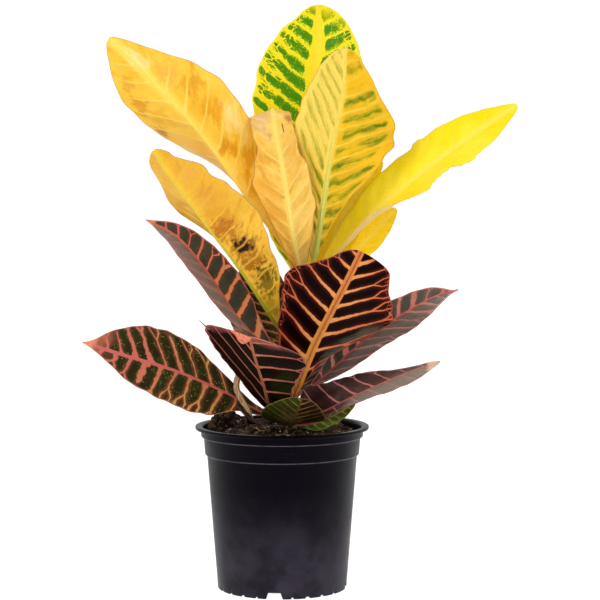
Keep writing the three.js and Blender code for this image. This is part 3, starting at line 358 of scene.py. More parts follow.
# Each leaf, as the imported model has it: the height at which it leaves the stem, its petiole's length, points
# along its midrib, half widths from base to tip (right where it differs), the ways its upper side faces, how
# far each half folds up at the midrib and at the margin (edge, where it differs), and its waves: height and
# count. Then its quilting, its veins' count, how they crowd towards the base, their lean from the midrib and
# their bow, the looks of its two sides, and its nicks: half, place, length, depth and how torn. A pair is for
# the left and the right half.
LEAF = dict(
    right=None, fold=[[5, 5]], edge=None, wave=(1, 2), wave_start=0, quilt=1.0, crowd=1.0, bow=0.25, nicks=(),
    hidden=False, looks=("dark_upper", "dark_under"))
BACK = dict(fold=[[15, 15], [10, 10]], edge=[[5, 5]], hidden=True)
LEAVES = {
    "leaf_gold_left_high": dict(
        z=268, petiole=22,
        spine=[[6, -6, 316], [-29, -16, 366], [-69, -28, 422], [-112, -38, 472], [-158, -44, 518]],
        left=[5, 11, 29, 45, 46, 25, 9], right=[5, 13, 31, 47, 47, 38, 16],
        face=[[0.25, 0.85, 0.3], [0.2, 0.9, 0.3], [0.2, 0.9, 0.3]],
        fold=[[10, 85], [5, 62], [10, 14], [8, 5]], edge=[[40, 100], [20, 95], [20, 40], [15, 5]],
        wave=(2, 3), quilt=1.6, count=12, lean=(56, 52), bow=0.3, looks=("gold_upper", "gold_under")),
    "leaf_gold_left_low": dict(
        z=228, petiole=18,
        spine=[[-4, -16, 250], [-36, -40, 301], [-68, -55, 345], [-98, -62, 386], [-117, -60, 415]],
        left=[5, 14, 33, 48, 48, 27, 12], right=[5, 12, 28, 42, 43, 24, 19],
        face=[[0.6, 0.7, 0.3], [0.5, 0.8, 0.3], [0.4, 0.8, 0.3]],
        fold=[[10, 85], [5, 68], [5, 36], [5, 20]], edge=[[20, 95], [15, 72], [10, 36], [10, 20]],
        wave=(2, (4, 3)), quilt=1.4, count=13, lean=(86, 58), bow=0.3, looks=("gold_upper", "amber_under"),
        nicks=[
            (0, 0.93, 0.03, 2, 0.2), (0, 0.85, 0.06, -4.5, 0.1), (0, 0.77, 0.05, 3, 0.1),
            (0, 0.55, 0.08, -2, 0.0)]),
    "leaf_green_gold_top": dict(
        z=292, petiole=22, spine=[[27, 16, 322], [26, 34, 397], [30, 45, 483], [35, 52, 532], [34, 50, 556]],
        left=[6, 18, 37, 54, 56, 41, 21], right=[6, 18, 34, 48, 50, 40, 19], face=[[0, -0.95, 0.2]],
        fold=[[8, 8]], edge=[[10, 10]], wave=(2, 2), quilt=1.6, count=16, lean=62, bow=0.1,
        looks=("green_gold_upper", "green_gold_under")),
    "leaf_gold_centre": dict(
        z=288, petiole=22,
        spine=[[30, -14, 313], [37, -28, 354], [46, -44, 415], [56, -54, 465], [59, -58, 508]],
        left=[3, 9, 24, 54, 60, 31, 14], right=[3, 10, 24, 36, 38, 30, 16],
        face=[[-0.1, 0.9, 0.3], [0, 0.95, 0.2], [0, 0.95, 0.2]], fold=[[25, 15]], wave=(2, 2), quilt=1.6,
        count=14, lean=(72, 34), bow=0.1, looks=("green_gold_upper", "centre_under"),
        nicks=[(0, 0.775, 0.07, 3, 0.0), (0, 0.6, 0.07, -2.5, 0.0)]),
    "leaf_pale_centre": dict(
        z=282, petiole=18,
        spine=[[15, -22, 312], [9, -42, 345], [2, -52, 392], [-6, -50, 436], [-9, -28, 453], [-10, -6, 444]],
        left=[5, 13, 22, 25, 19, 17, 11], right=[4, 10, 19, 28, 22, 22, 12],
        face=[[0.1, 0.9, 0.3], [0, 0.95, 0.2], [0, 0.9, -0.2], [0, 0.1, -0.9]], fold=[[10, 10]],
        edge=[[20, 20]], wave=(3, 3), wave_start=0.1, quilt=2.6, count=13, lean=56, bow=0.35,
        looks=("gold_upper", "pale_under"),
        nicks=[
            (1, 0.66, 0.06, 2, 0.2), (1, 0.5, 0.07, -3, 0.0), (0, 0.62, 0.07, 2.5, 0.1),
            (0, 0.36, 0.08, -2.5, 0.0)]),
    "leaf_yellow_right": dict(
        z=275, petiole=18, spine=[[45, 4, 310], [80, 6, 350], [125, 2, 389], [171, -2, 424], [221, -4, 458]],
        left=[4, 11, 21, 28, 28, 20, 8], right=[5, 14, 25, 32, 24, 19, 9],
        face=[[-0.5, -0.8, 0.2], [-0.4, -0.8, 0.4], [-0.4, -0.8, 0.4]],
        fold=[[5, 15], [5, 15], [5, 5], [5, 5]], edge=[[5, 100], [5, 100], [5, 15], [5, 5]], wave=(2, 3),
        count=14, lean=55, bow=0.3, looks=("yellow_upper", "yellow_under"),
        nicks=[(1, 0.63, 0.075, 6, 0.75), (1, 0.745, 0.022, -2, 0.8), (0, 0.62, 0.03, -2.5, 0.4)]),
    "leaf_yellow_right_small": dict(
        z=248, petiole=22, spine=[[50, 20, 300], [84, 40, 332], [110, 48, 360]],
        left=[4, 10, 18, 22, 20, 14, 7], right=[4, 8, 14, 17, 16, 12, 6], face=[[-0.4, -0.8, 0.4]], count=9,
        lean=55, bow=0.3, looks=("yellow_upper", "yellow_under")),
    "leaf_yellow_right_back": dict(
        z=264, petiole=22, spine=[[35, 20, 300], [60, 34, 354], [84, 44, 393], [96, 46, 406]],
        left=[4, 12, 20, 24, 20, 14, 7], face=[[-0.3, -0.9, 0.3]], count=9, lean=55, bow=0.3,
        looks=("flecked_upper", "yellow_under")),
    "leaf_dark_left_high": dict(
        z=214, petiole=18,
        spine=[[-12, 6, 226], [-42, 8, 256], [-69, 12, 296], [-98, 16, 331], [-130, 14, 350]],
        left=[4, 13, 28, 38, 37, 22, 4], right=[4, 13, 24, 26, 22, 12, 3],
        face=[[0.4, -0.75, 0.5], [0.4, -0.75, 0.5], [0.3, -0.75, 0.5]], fold=[[34, 10], [24, 10]],
        edge=[[50, 10], [42, 10]], count=10.5, crowd=1.55, lean=(60, 64), bow=0.05,
        looks=("high_upper", "dark_under")),
    "leaf_dark_left_back": dict(
        z=204, petiole=22, spine=[[0, 24, 238], [-16, 48, 272], [-34, 68, 312]],
        left=[4, 12, 22, 26, 24, 17, 7], face=[[0.2, -0.9, 0.4]], count=10, lean=60, bow=0.1),
    "leaf_dark_left_low": dict(
        z=163, petiole=22,
        spine=[[-19, -8, 168], [-54, -16, 188], [-98, -22, 208], [-150, -22, 224], [-188, -14, 235]],
        left=[4, 11, 32, 36, 29, 11, 2], right=[4, 8, 20, 34, 39, 27, 5], face=[[0.2, -0.8, 0.6]],
        edge=[[0, 0]], count=12.5, crowd=1.1, lean=(88, 58), bow=0.05),
    "leaf_dark_front_left": dict(
        z=166, petiole=20, spine=[[-9, -24, 172], [-17, -52, 200], [-24, -74, 226], [-29, -90, 247]],
        left=[4, 11, 24, 34, 47, 57, 50], right=[4, 13, 27, 39, 50, 55, 48], face=[[0.3, 0.8, 0.5]],
        fold=[[-5, 20], [-10, 20]], edge=[[-5, 20], [-20, 20]], wave=(0, 0), count=(6.5, 4.5), crowd=1.15,
        lean=(80, 34), bow=0.0, looks=("dark_upper", "front_left_under")),
    "leaf_dark_front": dict(
        z=176, petiole=20,
        spine=[[14, -22, 192], [29, -44, 232], [46, -60, 268], [62, -69, 300], [73, -70, 323]],
        left=[3, 7, 16, 37, 56, 40, 31], right=[4, 15, 35, 45, 53, 29, 14], face=[[0.1, 0.9, 0.4]],
        edge=[[10, 25]], count=9, crowd=1.3, lean=(52, 72), bow=0.05, looks=("dark_upper", "front_under")),
    "leaf_dark_right_high": dict(
        z=182, petiole=20,
        spine=[[34, 14, 194], [72, 20, 228], [108, 22, 254], [142, 20, 274], [168, 16, 283]],
        left=[4, 10, 17, 21, 19, 13, 2], right=[4, 18, 34, 42, 44, 30, 6], face=[[-0.3, -0.7, 0.6]],
        fold=[[5, 30]], count=11, lean=(60, 58), bow=0.1, looks=("grey_upper", "dark_under")),
    "leaf_dark_right_low": dict(
        z=162, petiole=7,
        spine=[[36, -14, 168], [66, -30, 185], [103, -40, 203], [132, -44, 215], [147, -44, 220]],
        left=[28, 31, 32, 26, 12, 6, 3], right=[6, 7, 16, 29, 33, 29, 10],
        face=[[-0.3, -0.9, 0.4], [-0.3, -0.6, 0.7], [-0.3, -0.5, 0.8], [-0.3, -0.5, 0.8], [-0.3, -0.5, 0.8]],
        fold=[[5, 20]], count=8, crowd=1.2, lean=(130, 62), bow=0.0, looks=("plum_upper", "dark_under"),
        nicks=[(1, 0.6, 0.05, 2.5, 0.1), (1, 0.45, 0.04, -1.5, 0.1), (1, 0.75, 0.04, 1.5, 0.1)]),
    "leaf_small_front": dict(
        z=155, petiole=10, spine=[[8, -16, 157], [10, -36, 163], [15, -56, 176], [19, -68, 188]],
        left=[14, 26, 30, 30, 25, 18, 9], face=[[0, 0.8, 0.6]], fold=[[10, 10]], wave=(0, 0), count=8,
        lean=62, bow=0.1, looks=("dark_upper", "small_under")),
    "leaf_small_right": dict(
        z=156, petiole=10, spine=[[28, -8, 157], [45, -13, 164], [59, -18, 172], [70, -22, 181]],
        left=[3, 7, 11, 12, 10, 7, 3], right=[3, 6, 10, 10, 9, 6, 3], face=[[-0.35, -0.75, 0.5]],
        wave=(0, 0), count=8, lean=58, bow=0.1, looks=("lime_upper", "lime_under")),
    "leaf_withered_rolled": dict(
        z=200, petiole=24,
        spine=[[-12, -6, 212], [-33, -16, 212], [-41, -22, 194], [-31, -26, 174], [-27, -27, 162]],
        left=[2, 3.5, 4.5, 5, 5, 4, 2], face=[[0, 0, 1], [-0.8, -0.6, 0.3], [-0.8, -0.6, 0.3]],
        fold=[[20, 20]], edge=[[60, 60]], wave=(0, 0), quilt=0.3, count=9, lean=30, bow=0.0,
        looks=("rolled", "rolled")),
    "leaf_withered_flat": dict(
        z=155, petiole=14, spine=[[-9, -8, 160], [-24, -34, 161], [-34, -42, 170], [-41, -44, 178]],
        left=[1, 3, 5, 7, 7, 5, 2], right=[1, 3, 5, 6, 6, 5, 2], face=[[0.3, -0.3, 0.9]], fold=[[20, 20]],
        wave=(0, 0), quilt=0.4, count=7, lean=40, bow=0.0, looks=("flat_dry", "flat_dry")),
    "leaf_back_gold": dict(
        BACK, z=280, petiole=18, spine=[[14, 27, 306], [12, 64, 350], [12, 100, 388], [10, 130, 412]],
        left=[4, 12, 24, 32, 32, 24, 10], face=[[0, -0.7, 0.7], [0, -0.6, 0.8], [0, -0.5, 0.85]],
        wave=(2, 3), count=14, lean=56, looks=("green_gold_upper", "gold_under")),
    "leaf_back_gold_right": dict(
        BACK, z=236, petiole=18, spine=[[34, 34, 276], [62, 74, 318], [82, 108, 352]],
        left=[4, 10, 18, 24, 22, 15, 6], face=[[-0.6, -0.5, 0.6], [-0.6, -0.4, 0.7]], wave=(1, 3), count=11,
        lean=56, looks=("green_gold_upper", "green_gold_under")),
    "leaf_back_dark_left": dict(
        BACK, z=190, petiole=18, spine=[[-6, 26, 206], [-22, 62, 232], [-33, 96, 257], [-37, 118, 270]],
        left=[4, 12, 22, 28, 26, 18, 6], face=[[0.4, -0.6, 0.7], [0.3, -0.5, 0.8]], wave=(1, 3), count=12,
        lean=58),
    "leaf_back_dark": dict(
        BACK, z=172, petiole=20, spine=[[12, 28, 184], [14, 72, 204], [14, 116, 216], [14, 148, 220]],
        left=[4, 14, 28, 36, 34, 22, 6], face=[[0, -0.4, 0.9], [0, -0.2, 1]], wave=(1, 3), count=14, lean=58),
    "leaf_back_dark_right": dict(
        BACK, z=196, petiole=18, spine=[[26, 30, 218], [46, 70, 246], [62, 102, 268], [70, 122, 278]],
        left=[4, 12, 22, 28, 26, 18, 6], face=[[-0.4, -0.6, 0.7], [-0.3, -0.5, 0.8]], wave=(1, 3), count=12,
        lean=58),
}

# ---------------------------------------------------------------- curves


def smooth_values(entries, shares):
    """Values of a smooth curve through evenly spaced entries, numbers or rows, at shares from 0 to 1."""
    knots = np.array(entries, float).reshape(len(entries), -1)
    if len(knots) == 1:
        return np.repeat(knots, len(shares), axis=0)
    knots = np.vstack([2 * knots[0] - knots[1], knots, 2 * knots[-1] - knots[-2]])
    place = np.clip(np.asarray(shares, float), 0, 1) * (len(knots) - 3)
    i = np.minimum(place.astype(int), len(knots) - 4)
    t = (place - i)[:, None]
    a, b, c, d = (knots[i + k] for k in range(4))
    return 0.5 * (2 * b + (c - a) * t + (2 * a - 5 * b + 4 * c - d) * t**2 + (3 * b - a - 3 * c + d) * t**3)


def unit(vectors):
    return vectors / np.maximum(np.linalg.norm(vectors, axis=-1, keepdims=True), 1e-12)


def ease(values, low, high):
    """0 below low, 1 above high and smooth between."""
    t = np.clip((np.asarray(values, float) - low) / (high - low), 0, 1)
    return t * t * (3 - 2 * t)


def circle(sides):
    """Angles round a circle and the points at them."""
    angle = np.linspace(0, 2 * math.pi, sides, endpoint=False)
    return angle, np.stack([np.cos(angle), np.sin(angle)], -1)


class Path:
    """A smooth curve through points, which answers with the points at given lengths along it."""

    def __init__(self, points):
        spans = len(points) - 1
        self.samples = smooth_values(points, np.linspace(0, 1, spans * CURVE_STEPS + 1))
        steps = np.linalg.norm(np.diff(self.samples, axis=0), axis=1)
        self.lengths = np.concatenate([[0], np.cumsum(steps)])
        self.total = self.lengths[-1]

    def at(self, lengths):
        lengths = np.clip(lengths, 0, self.total)
        return np.stack([np.interp(lengths, self.lengths, self.samples[:, k]) for k in range(3)], -1)

    def tangents(self, lengths):
        reach = self.total * TANGENT_SHARE
        return unit(self.at(lengths + reach) - self.at(lengths - reach))


stem_path = Path(STEM_PATH)


def stem_point_at(z):
    return [float(np.interp(z, stem_path.samples[:, 2], stem_path.samples[:, k])) for k in range(3)]


# ---------------------------------------------------------------- meshes


def end_faces(start, count, hub, flip):
    ring = np.arange(start, start + count)
    ahead = np.roll(ring, -1)
    return [(hub, b, a) if flip else (hub, a, b) for a, b in zip(ring.tolist(), ahead.tolist())]


def closed_rings(rings):
    """Points and faces of a closed skin through rings, an array (rows, count, 3)."""
    rows, count = rings.shape[:2]
    points = np.vstack([rings.reshape(-1, 3), rings[0].mean(0), rings[-1].mean(0)])
    grid = np.arange(rows * count).reshape(rows, count)
    ahead = np.roll(grid, -1, axis=1)
    faces = np.stack([grid[:-1], ahead[:-1], ahead[1:], grid[1:]], -1).reshape(-1, 4).tolist()
    faces += end_faces(0, count, rows * count, True)
    faces += end_faces((rows - 1) * count, count, rows * count + 1, False)
    return points, faces


def tube_rings(points, radii, sides):
    """Rings round a curve through points."""
    path = Path(points)
    lengths = np.linspace(0, path.total, len(radii))
    along = path.tangents(lengths)
    helper = np.array([0.3, 0.2, 0.93]) if abs(along[0, 2]) < 0.9 else np.array([0.96, 0.2, 0.1])
    side = unit(np.cross(along, helper))
    up = np.cross(side, along)
    across, over = circle(sides)[1].T
    out = side[:, None] * across[None, :, None] + up[:, None] * over[None, :, None]
    return path.at(lengths)[:, None] + out * np.asarray(radii)[:, None, None]


def make_piece(name, skin, materials, replaces=(), face_materials=None, sharp=None):
    """A piece of the plant from a skin's points, in mm, and faces, riding on the plant's body."""
    points, faces = skin
    mesh = bpy.data.meshes.new(name)
    mesh.from_pydata((np.asarray(points) * MM).tolist(), [], [tuple(face) for face in faces])
    for material in materials:
        mesh.materials.append(material)
    if face_materials is not None:
        mesh.polygons.foreach_set("material_index", np.asarray(face_materials, np.int32))
    mesh.shade_smooth()
    if sharp is not None:
        mesh.set_sharp_from_angle(angle=math.radians(sharp))
    mesh.update()
    piece = bpy.data.objects.new(name, mesh)
    bpy.context.scene.collection.objects.link(piece)
    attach(piece, BODY)
    if replaces:
        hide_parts(*replaces)
    return piece


def add_attribute(piece, name, values):
    kind = "FLOAT" if values.ndim == 1 else "FLOAT_VECTOR"
    made = piece.data.attributes.new(name, kind, "POINT")
    made.data.foreach_set("value" if values.ndim == 1 else "vector", values.astype(np.float32).ravel())


# ---------------------------------------------------------------- materials


def ink(text):
    """Linear colour with alpha from an sRGB hex colour."""
    parts = [int(text[i:i + 2], 16) / 255 for i in (1, 3, 5)]
    return tuple(c / 12.92 if c <= 0.04045 else ((c + 0.055) / 1.055) ** 2.4 for c in parts) + (1.0,)


class Value:
    """A node's output, which can be reckoned with as a number."""

    def __init__(self, paint, socket):
        self.paint = paint
        self.socket = socket

    def __add__(self, other):
        return self.paint.math("ADD", self, other)

    def __mul__(self, other):
        return self.paint.math("MULTIPLY", self, other)

    def __sub__(self, other):
        return self.paint.math("SUBTRACT", self, other)

    def __rsub__(self, other):
        return self.paint.math("SUBTRACT", other, self)

    def __abs__(self):
        return self.paint.math("ABSOLUTE", self)


class Paint:
    """One material's node tree, written as short calls that each answer with a Value."""

    def __init__(self, name, tree=None):
        if tree is None:
            self.material = bpy.data.materials.new(name)
            self.material.use_nodes = True
            tree = self.material.node_tree
        self.tree = tree
        self.tree.nodes.clear()

    def node(self, kind, inputs, **settings):
        made = self.tree.nodes.new(kind)
        for key, value in settings.items():
            setattr(made, key, value)
        for key, value in inputs.items():
            if isinstance(value, Value):
                self.tree.links.new(value.socket, made.inputs[key])
            else:
                made.inputs[key].default_value = ink(value) if isinstance(value, str) else value
        return made

    def value(self, kind, inputs, output=0, **settings):
        return Value(self, self.node(kind, inputs, **settings).outputs[output])

    def math(self, operation, *values):
        return self.value("ShaderNodeMath", dict(enumerate(values)), operation=operation)

    def vector_math(self, operation, first, second, output=0):
        return self.value("ShaderNodeVectorMath", {0: first, 1: second}, output, operation=operation)

    def ease(self, value, low, high, start=0.0, end=1.0):
        inputs = {0: value, 1: low, 2: high, 3: start, 4: end}
        return self.value("ShaderNodeMapRange", inputs, interpolation_type="SMOOTHSTEP")

    def mix(self, share, first, second, blend="MIX"):
        inputs = {0: share, 6: first, 7: second}
        return self.value("ShaderNodeMix", inputs, 2, data_type="RGBA", blend_type=blend)

    def vector(self, x, y, z):
        return self.value("ShaderNodeCombineXYZ", {0: x, 1: y, 2: z})

    def parts(self, vector):
        """A vector's three numbers."""
        made = self.node("ShaderNodeSeparateXYZ", {0: vector})
        return [Value(self, made.outputs[k]) for k in range(3)]

    def attribute(self, name, output="Vector"):
        return self.value("ShaderNodeAttribute", {}, output, attribute_name=name)

    def luck(self, number):
        """Three random numbers that stay the same over one vein or one space between veins."""
        luck = self.value("ShaderNodeTexWhiteNoise", {"W": number}, "Color", noise_dimensions="1D")
        return self.parts(luck)

    def place(self):
        """Where the point is on the piece, in mm."""
        spot = self.value("ShaderNodeTexCoord", {}, "Object")
        return self.value("ShaderNodeVectorMath", {0: spot, 3: 1 / MM}, operation="SCALE")

    def noise(self, vector, scale, detail=2.0, rough=0.5, twist=0.0):
        inputs = {"Vector": vector, "Scale": scale, "Detail": detail, "Roughness": rough, "Distortion": twist}
        return self.value("ShaderNodeTexNoise", inputs)

    def cells(self, vector, scale):
        """How far a point is from the edge of its cell."""
        inputs = {"Vector": vector, "Scale": scale}
        return self.value("ShaderNodeTexVoronoi", inputs, "Distance", feature="DISTANCE_TO_EDGE")

    def finish(self, colour, rough, height=None, **settings):
        """Ends the tree; height is a relief in mm and settings are plain values of the shader's sockets."""
        inputs = {"Base Color": colour, "Roughness": rough}
        if height is not None:
            bump = {"Strength": 1.0, "Distance": MM, "Height": height}
            inputs["Normal"] = self.value("ShaderNodeBump", bump)
        inputs.update({key.replace("_", " "): value for key, value in settings.items()})
        self.node("ShaderNodeOutputMaterial", {0: self.value("ShaderNodeBsdfPrincipled", inputs)})
        return self.material


def leaf_veins(p, look, at):
    """How much of a vein there is at each point, 0 to 1, and the distance from the nearest one, 0 to 0.5."""
    offset = p.math("FRACT", at.phase + 0.5) - 0.5
    size, run, split = p.luck(p.math("ROUND", at.phase) + at.half * VEIN_SEED)
    place, forked = look.fork
    past = p.math("MAXIMUM", at.across - (p.ease(split, 0.0, 1.0, -0.12, 0.16) + place), 0.0)
    parting = p.math("MINIMUM", past * 1.5, 0.34) * p.ease(run, 1 - forked, 1.02 - forked)
    ahead = abs(offset - parting * (size * 0.55 + 0.65))
    behind = abs(offset + parting * (size * -0.7 + 1.1))
    spread = p.math("MINIMUM", ahead, behind)
    inner, outer = look.width
    width = p.ease(at.across, 0.0, 0.85, inner, outer) + p.ease(at.across, 0.0, 0.2, inner * VEIN_FLARE, 0.0)
    width = width * p.ease(size, 0.0, 1.0, 1 - look.vary, 1 + look.vary * 0.6)
    width = width * p.ease(p.noise(at.flat, 1 / 5, 3, 0.6), 0.25, 0.75, 1 - look.uneven, 1 + look.uneven)
    width = width * p.ease(at.share, 0.1, 0.85, *look.thick)
    past = at.across - p.ease(run, 0.0, 1.0, look.reach, look.reach + 0.5)
    width = width - p.ease(past, -0.06, 0.12, 0.0, inner + look.crisp)
    veins = p.ease(width - spread, -look.crisp, look.crisp)
    if look.net:
        thin, start, long, short = look.net
        bent = p.vector(p.noise(at.flat, 1 / 6) * 1.5, 0.0, 0.0)
        net = p.vector_math("ADD", p.vector_math("MULTIPLY", at.cell, (long, short, 1)), bent)
        net = p.ease(p.ease(at.across, start, 0.97) * thin - p.cells(net, 1.0), -0.004, 0.02)
        veins = p.math("MAXIMUM", veins, net)
    return veins, spread


def leaf_patches(p, look, at):
    """How far each point lies inside a coloured field between two veins, 0 at the field's edge."""
    gap = 0.5 - abs(p.math("FRACT", at.phase) - 0.5)
    one, two, three = p.luck(p.math("FLOOR", at.phase) + at.half * PATCH_SEED)
    long, short = look.patch_grain
    broad = p.noise(p.vector_math("MULTIPLY", at.cell, (short, long, 1)), 1.0, 3, 0.6) - 0.5
    speck = (p.noise(at.flat, 1 / 1.6, 2, 0.6) - 0.5) * look.patch_speck
    field = gap - ((one - 0.5) * 0.08 + look.patch_gap) + (broad + speck) * look.patch_rough
    first, last = look.patch_reach
    start = two * 0.1 + first
    field = field - p.ease(at.across, start, start - 0.07, 0.0, 0.6)
    stop = last - three * 0.12
    field = field - p.ease(at.across, stop, stop + 0.15, 0.0, 0.6)
    field = field - p.ease(one, look.patch_share, look.patch_share + 0.05, 0.0, 0.3)
    if look.islands:
        web = p.ease(p.cells(p.vector_math("MULTIPLY", at.cell, (2.2, 1.7, 1)), 1.0), 0.09, 0.03)
        field = field - web * p.ease(at.across, 0.4, 0.75) * 0.35
        dots = p.ease(p.noise(at.flat, 1 / 1.1, 2, 0.6), 0.6, 0.68)
        field = field - dots * p.ease(p.noise(at.flat, 1 / 7, 2), 0.44, 0.56) * look.islands
    return field


def leaf_blade(p, look, at, gap):
    """The colour between the veins."""
    tone = p.ease(p.noise(at.flat, 1 / look.tint_size, 3, 0.6), 0.35, 0.65)
    colour = p.mix(tone, *look.blade)
    # smudges along the veins: stains, and on pale_under painted shade
    if look.stain:
        stain, share = look.stain
        level = 0.72 - 0.3 * share
        long = p.vector(at.phase * 1.5, at.across * 1.3, at.turn + at.seed)
        smudge = p.noise(long, 1.0, 3, 0.6, 0.4) + (p.noise(at.flat, 1 / 1.8, 3, 0.7) - 0.5) * 0.22
        smudge = p.ease(smudge, level - 0.1, level + 0.14) * p.ease(gap, 0.05, 0.2, 0.25, 1.0)
        colour = p.mix(smudge * 0.85, colour, stain)
    if look.halo:
        halo, share = look.halo
        colour = p.mix(p.ease(gap, look.width[0] * 2.6, look.width[0], 0.0, share), colour, halo)
    if look.band:
        band, width = look.band
        colour = p.mix(p.ease(abs(at.sideways), width, 0.0), colour, band)
    if look.half:
        half, share = look.half
        colour = p.mix(p.ease(at.sideways, -0.5, 0.5, 0.0, share), colour, half)
    if look.patch:
        patch, deep, halo = look.patch
        depth = leaf_patches(p, look, at)
        crisp, core = look.patch_crisp, look.patch_core
        colour = p.mix(p.ease(depth, -crisp - look.patch_glow, crisp, 0.0, 0.7), colour, halo)
        field = p.mix(p.ease(depth + (at.fine - 0.5) * core, 0.0, core), patch, deep)
        colour = p.mix(p.ease(depth, -crisp, crisp), colour, field)
    return colour


def leaf_marks(p, look, at, gap, colour):
    """Flecks, washes and spots over the blade and its veins."""
    if look.fleck:
        fleck, share = look.fleck
        level = 0.73 - 0.08 * share
        dots = p.ease(p.noise(at.flat, 1 / 1.3, 2, 0.55), level, level + 0.05)
        colour = p.mix(dots * p.ease(p.noise(at.flat, 1 / 9, 2), 0.44, 0.6), colour, fleck)
    for half, start, end, wash, strength in look.washes:
        level = at.share + (at.slow - 0.5) * 0.2
        over = p.ease(level, start - 0.06, start + 0.06) * p.ease(level, end + 0.06, end - 0.06)
        if half:
            over = over * p.ease(at.sideways * half, -0.6, 0.8)
        over = over * p.ease(p.noise(at.flat, 1 / 4, 3, 0.6), 0.3, 0.6, 0.75 * strength, strength)
        colour = p.mix(over, colour, wash)
    for place, offset, length, breadth, spot, strength, grain in look.spots:
        over = (at.across * at.half - offset) * (1 / breadth)
        far = p.vector((at.share - place) * (1 / length), over, 0.0)
        far = p.vector_math("LENGTH", far, (0, 0, 0), "Value")
        ragged = p.vector_math("MULTIPLY", at.cell, (SPOT_GRAIN / grain, SPOT_LENGTH / grain, 1))
        far = far + (p.noise(ragged, 1.0, 3, 0.6) - 0.5) * 2.8
        cover = p.ease(far, 1.1, 0.3, 0.0, strength) * p.ease(gap, 0.02, 0.09, 1 - look.vein_net, 1.0)
        colour = p.mix(cover, colour, spot)
    return colour


def leaf_edges(p, look, at, colour):
    """The rim, the midrib and the dry tip."""
    tint, width = look.rim
    rim = at.rim * p.ease(at.share, 0.8, 0.97, 1.0, 1 / look.rim_tip)
    ragged = rim + (p.noise(at.flat, 1 / 7, 2) - 0.5) * (width * 1.2)
    colour = p.mix(p.ease(ragged, width * 1.35, width * 0.65), colour, tint)
    base, end = (look.rib, look.rib) if isinstance(look.rib, str) else look.rib
    middle = p.mix(p.ease(at.share, 0.0, 0.9), base, end)
    level = abs(at.sideways)
    if look.rib_line:
        line = p.ease(level + (at.fine - 0.5) * 1.2, 0.75, 0.3, 0.0, 0.7)
        middle = p.mix(line, middle, look.rib_line)
    reach = p.ease(at.share, 0.0, 1.0, *look.rib_width)
    colour = p.mix(p.ease(level + (at.fine - 0.5) * 0.8 - reach, 0.35, -0.25), colour, middle)
    if look.dry:
        dry, start = look.dry
        colour = p.mix(p.ease(at.share + (at.slow - 0.5) * 0.06, start, start + 0.03), colour, dry)
    return colour


def look_of(name):
    """A look's full set of values, its own before those of the look that it is like."""
    look = LOOKS[name]
    return {**(look_of(look["like"]) if "like" in look else SIDE), **look}


def leaf_paint(name, seed):
    """The material of one side of a leaf, drawn along its own veins."""
    look = SimpleNamespace(**look_of(name))
    p = Paint(name)
    at = SimpleNamespace(seed=seed)  # what is known of each point
    at.phase, at.across, at.share = p.parts(p.attribute("vein"))
    along, at.sideways, at.turn = p.parts(p.attribute("flat"))
    at.rim = p.parts(p.attribute("edge"))[1]
    at.half = p.math("SIGN", at.sideways)
    at.flat = p.vector(along, at.sideways, at.turn + seed * LOOK_SEED)
    at.slow = p.noise(at.flat, 1 / 22, 2)
    at.fine = p.noise(at.flat, 1 / 3.5, 3)
    at.phase = at.phase + (at.slow - 0.5) * (look.wander * 2)
    at.cell = p.vector(at.phase, at.across * 2.2, at.turn + seed * CELL_SEED)

    veins, gap = leaf_veins(p, look, at)
    tone = p.mix(p.ease(at.across + at.fine * 0.4, 0.3, 1.1), *look.vein)
    if look.vein_tip:
        tone = p.mix(p.ease(at.share, 0.35, 0.85), tone, look.vein_tip)
    colour = p.mix(veins, leaf_blade(p, look, at, gap), tone)
    colour = leaf_edges(p, look, at, leaf_marks(p, look, at, gap, colour))
    light = p.ease(p.noise(at.flat, 1 / 1.4, 3, 0.7), 0.2, 0.8, 0.93, 1.07)
    colour = p.mix(1.0, colour, p.vector(light, light, light), "MULTIPLY")
    lines = p.ease(p.cells(at.flat, 1 / 2.6), 0.0, 0.12, 0.5, 0.0)
    height = veins * look.raised + (lines * look.grain + at.fine * (look.grain * 2))
    rough = p.ease(at.slow, 0.2, 0.8, look.rough - 0.06, look.rough + 0.08)
    return p.finish(colour, rough, height, Specular_IOR_Level=look.sheen)


# ---------------------------------------------------------------- leaves


def half_widths(widths, shares):
    place = np.arccos(1 - 2 * np.clip(shares, 0, 1)) / math.pi
    return np.maximum(smooth_values([0, *widths, 0], place)[:, 0], TIP_HALF_WIDTH)


def leaf_outline(leaf, shares, seed):
    """The half widths on the left and on the right, with their small waves and nicks."""
    widths = [half_widths(half, shares) for half in (leaf.left, leaf.right or leaf.left)]
    for k, width in enumerate(widths):
        small = np.sin(41 * shares + 5 * k + seed), np.sin(67 * shares + 3 * k + 2 * seed)
        width *= 1 + MARGIN_UNEVEN * small[0] + MARGIN_UNEVEN * small[1]
    for which, place, length, depth, torn in leaf.nicks:
        near = 1 - np.abs(shares - place) / length
        uneven = 1 + torn * TEAR * np.sin(TEAR_TURNS * shares)
        widths[which] -= depth * uneven * ease(near, 0, 1 - 0.8 * torn)
    return widths


def bend(across, start, end):
    """Sideways and upward travel over a half blade of unit width that turns from one angle to another."""
    start = np.radians(start)
    turn = np.radians(end) - start
    turn = np.where(np.abs(turn) < 1e-4, 1e-4, turn)
    stop = start + turn * across
    return (np.sin(stop) - np.sin(start)) / turn, (np.cos(start) - np.cos(stop)) / turn


def leaf_columns(width, rib, outer):
    """Distances from the midrib, closer together over it, row by row."""
    inner = np.outer(rib, RIB_COLUMNS)
    share = np.linspace(0, 1, outer + 1)[1:]
    rest = inner[:, -1:] + np.outer(width, share) - inner[:, -1:] * share
    return np.hstack([inner, rest])


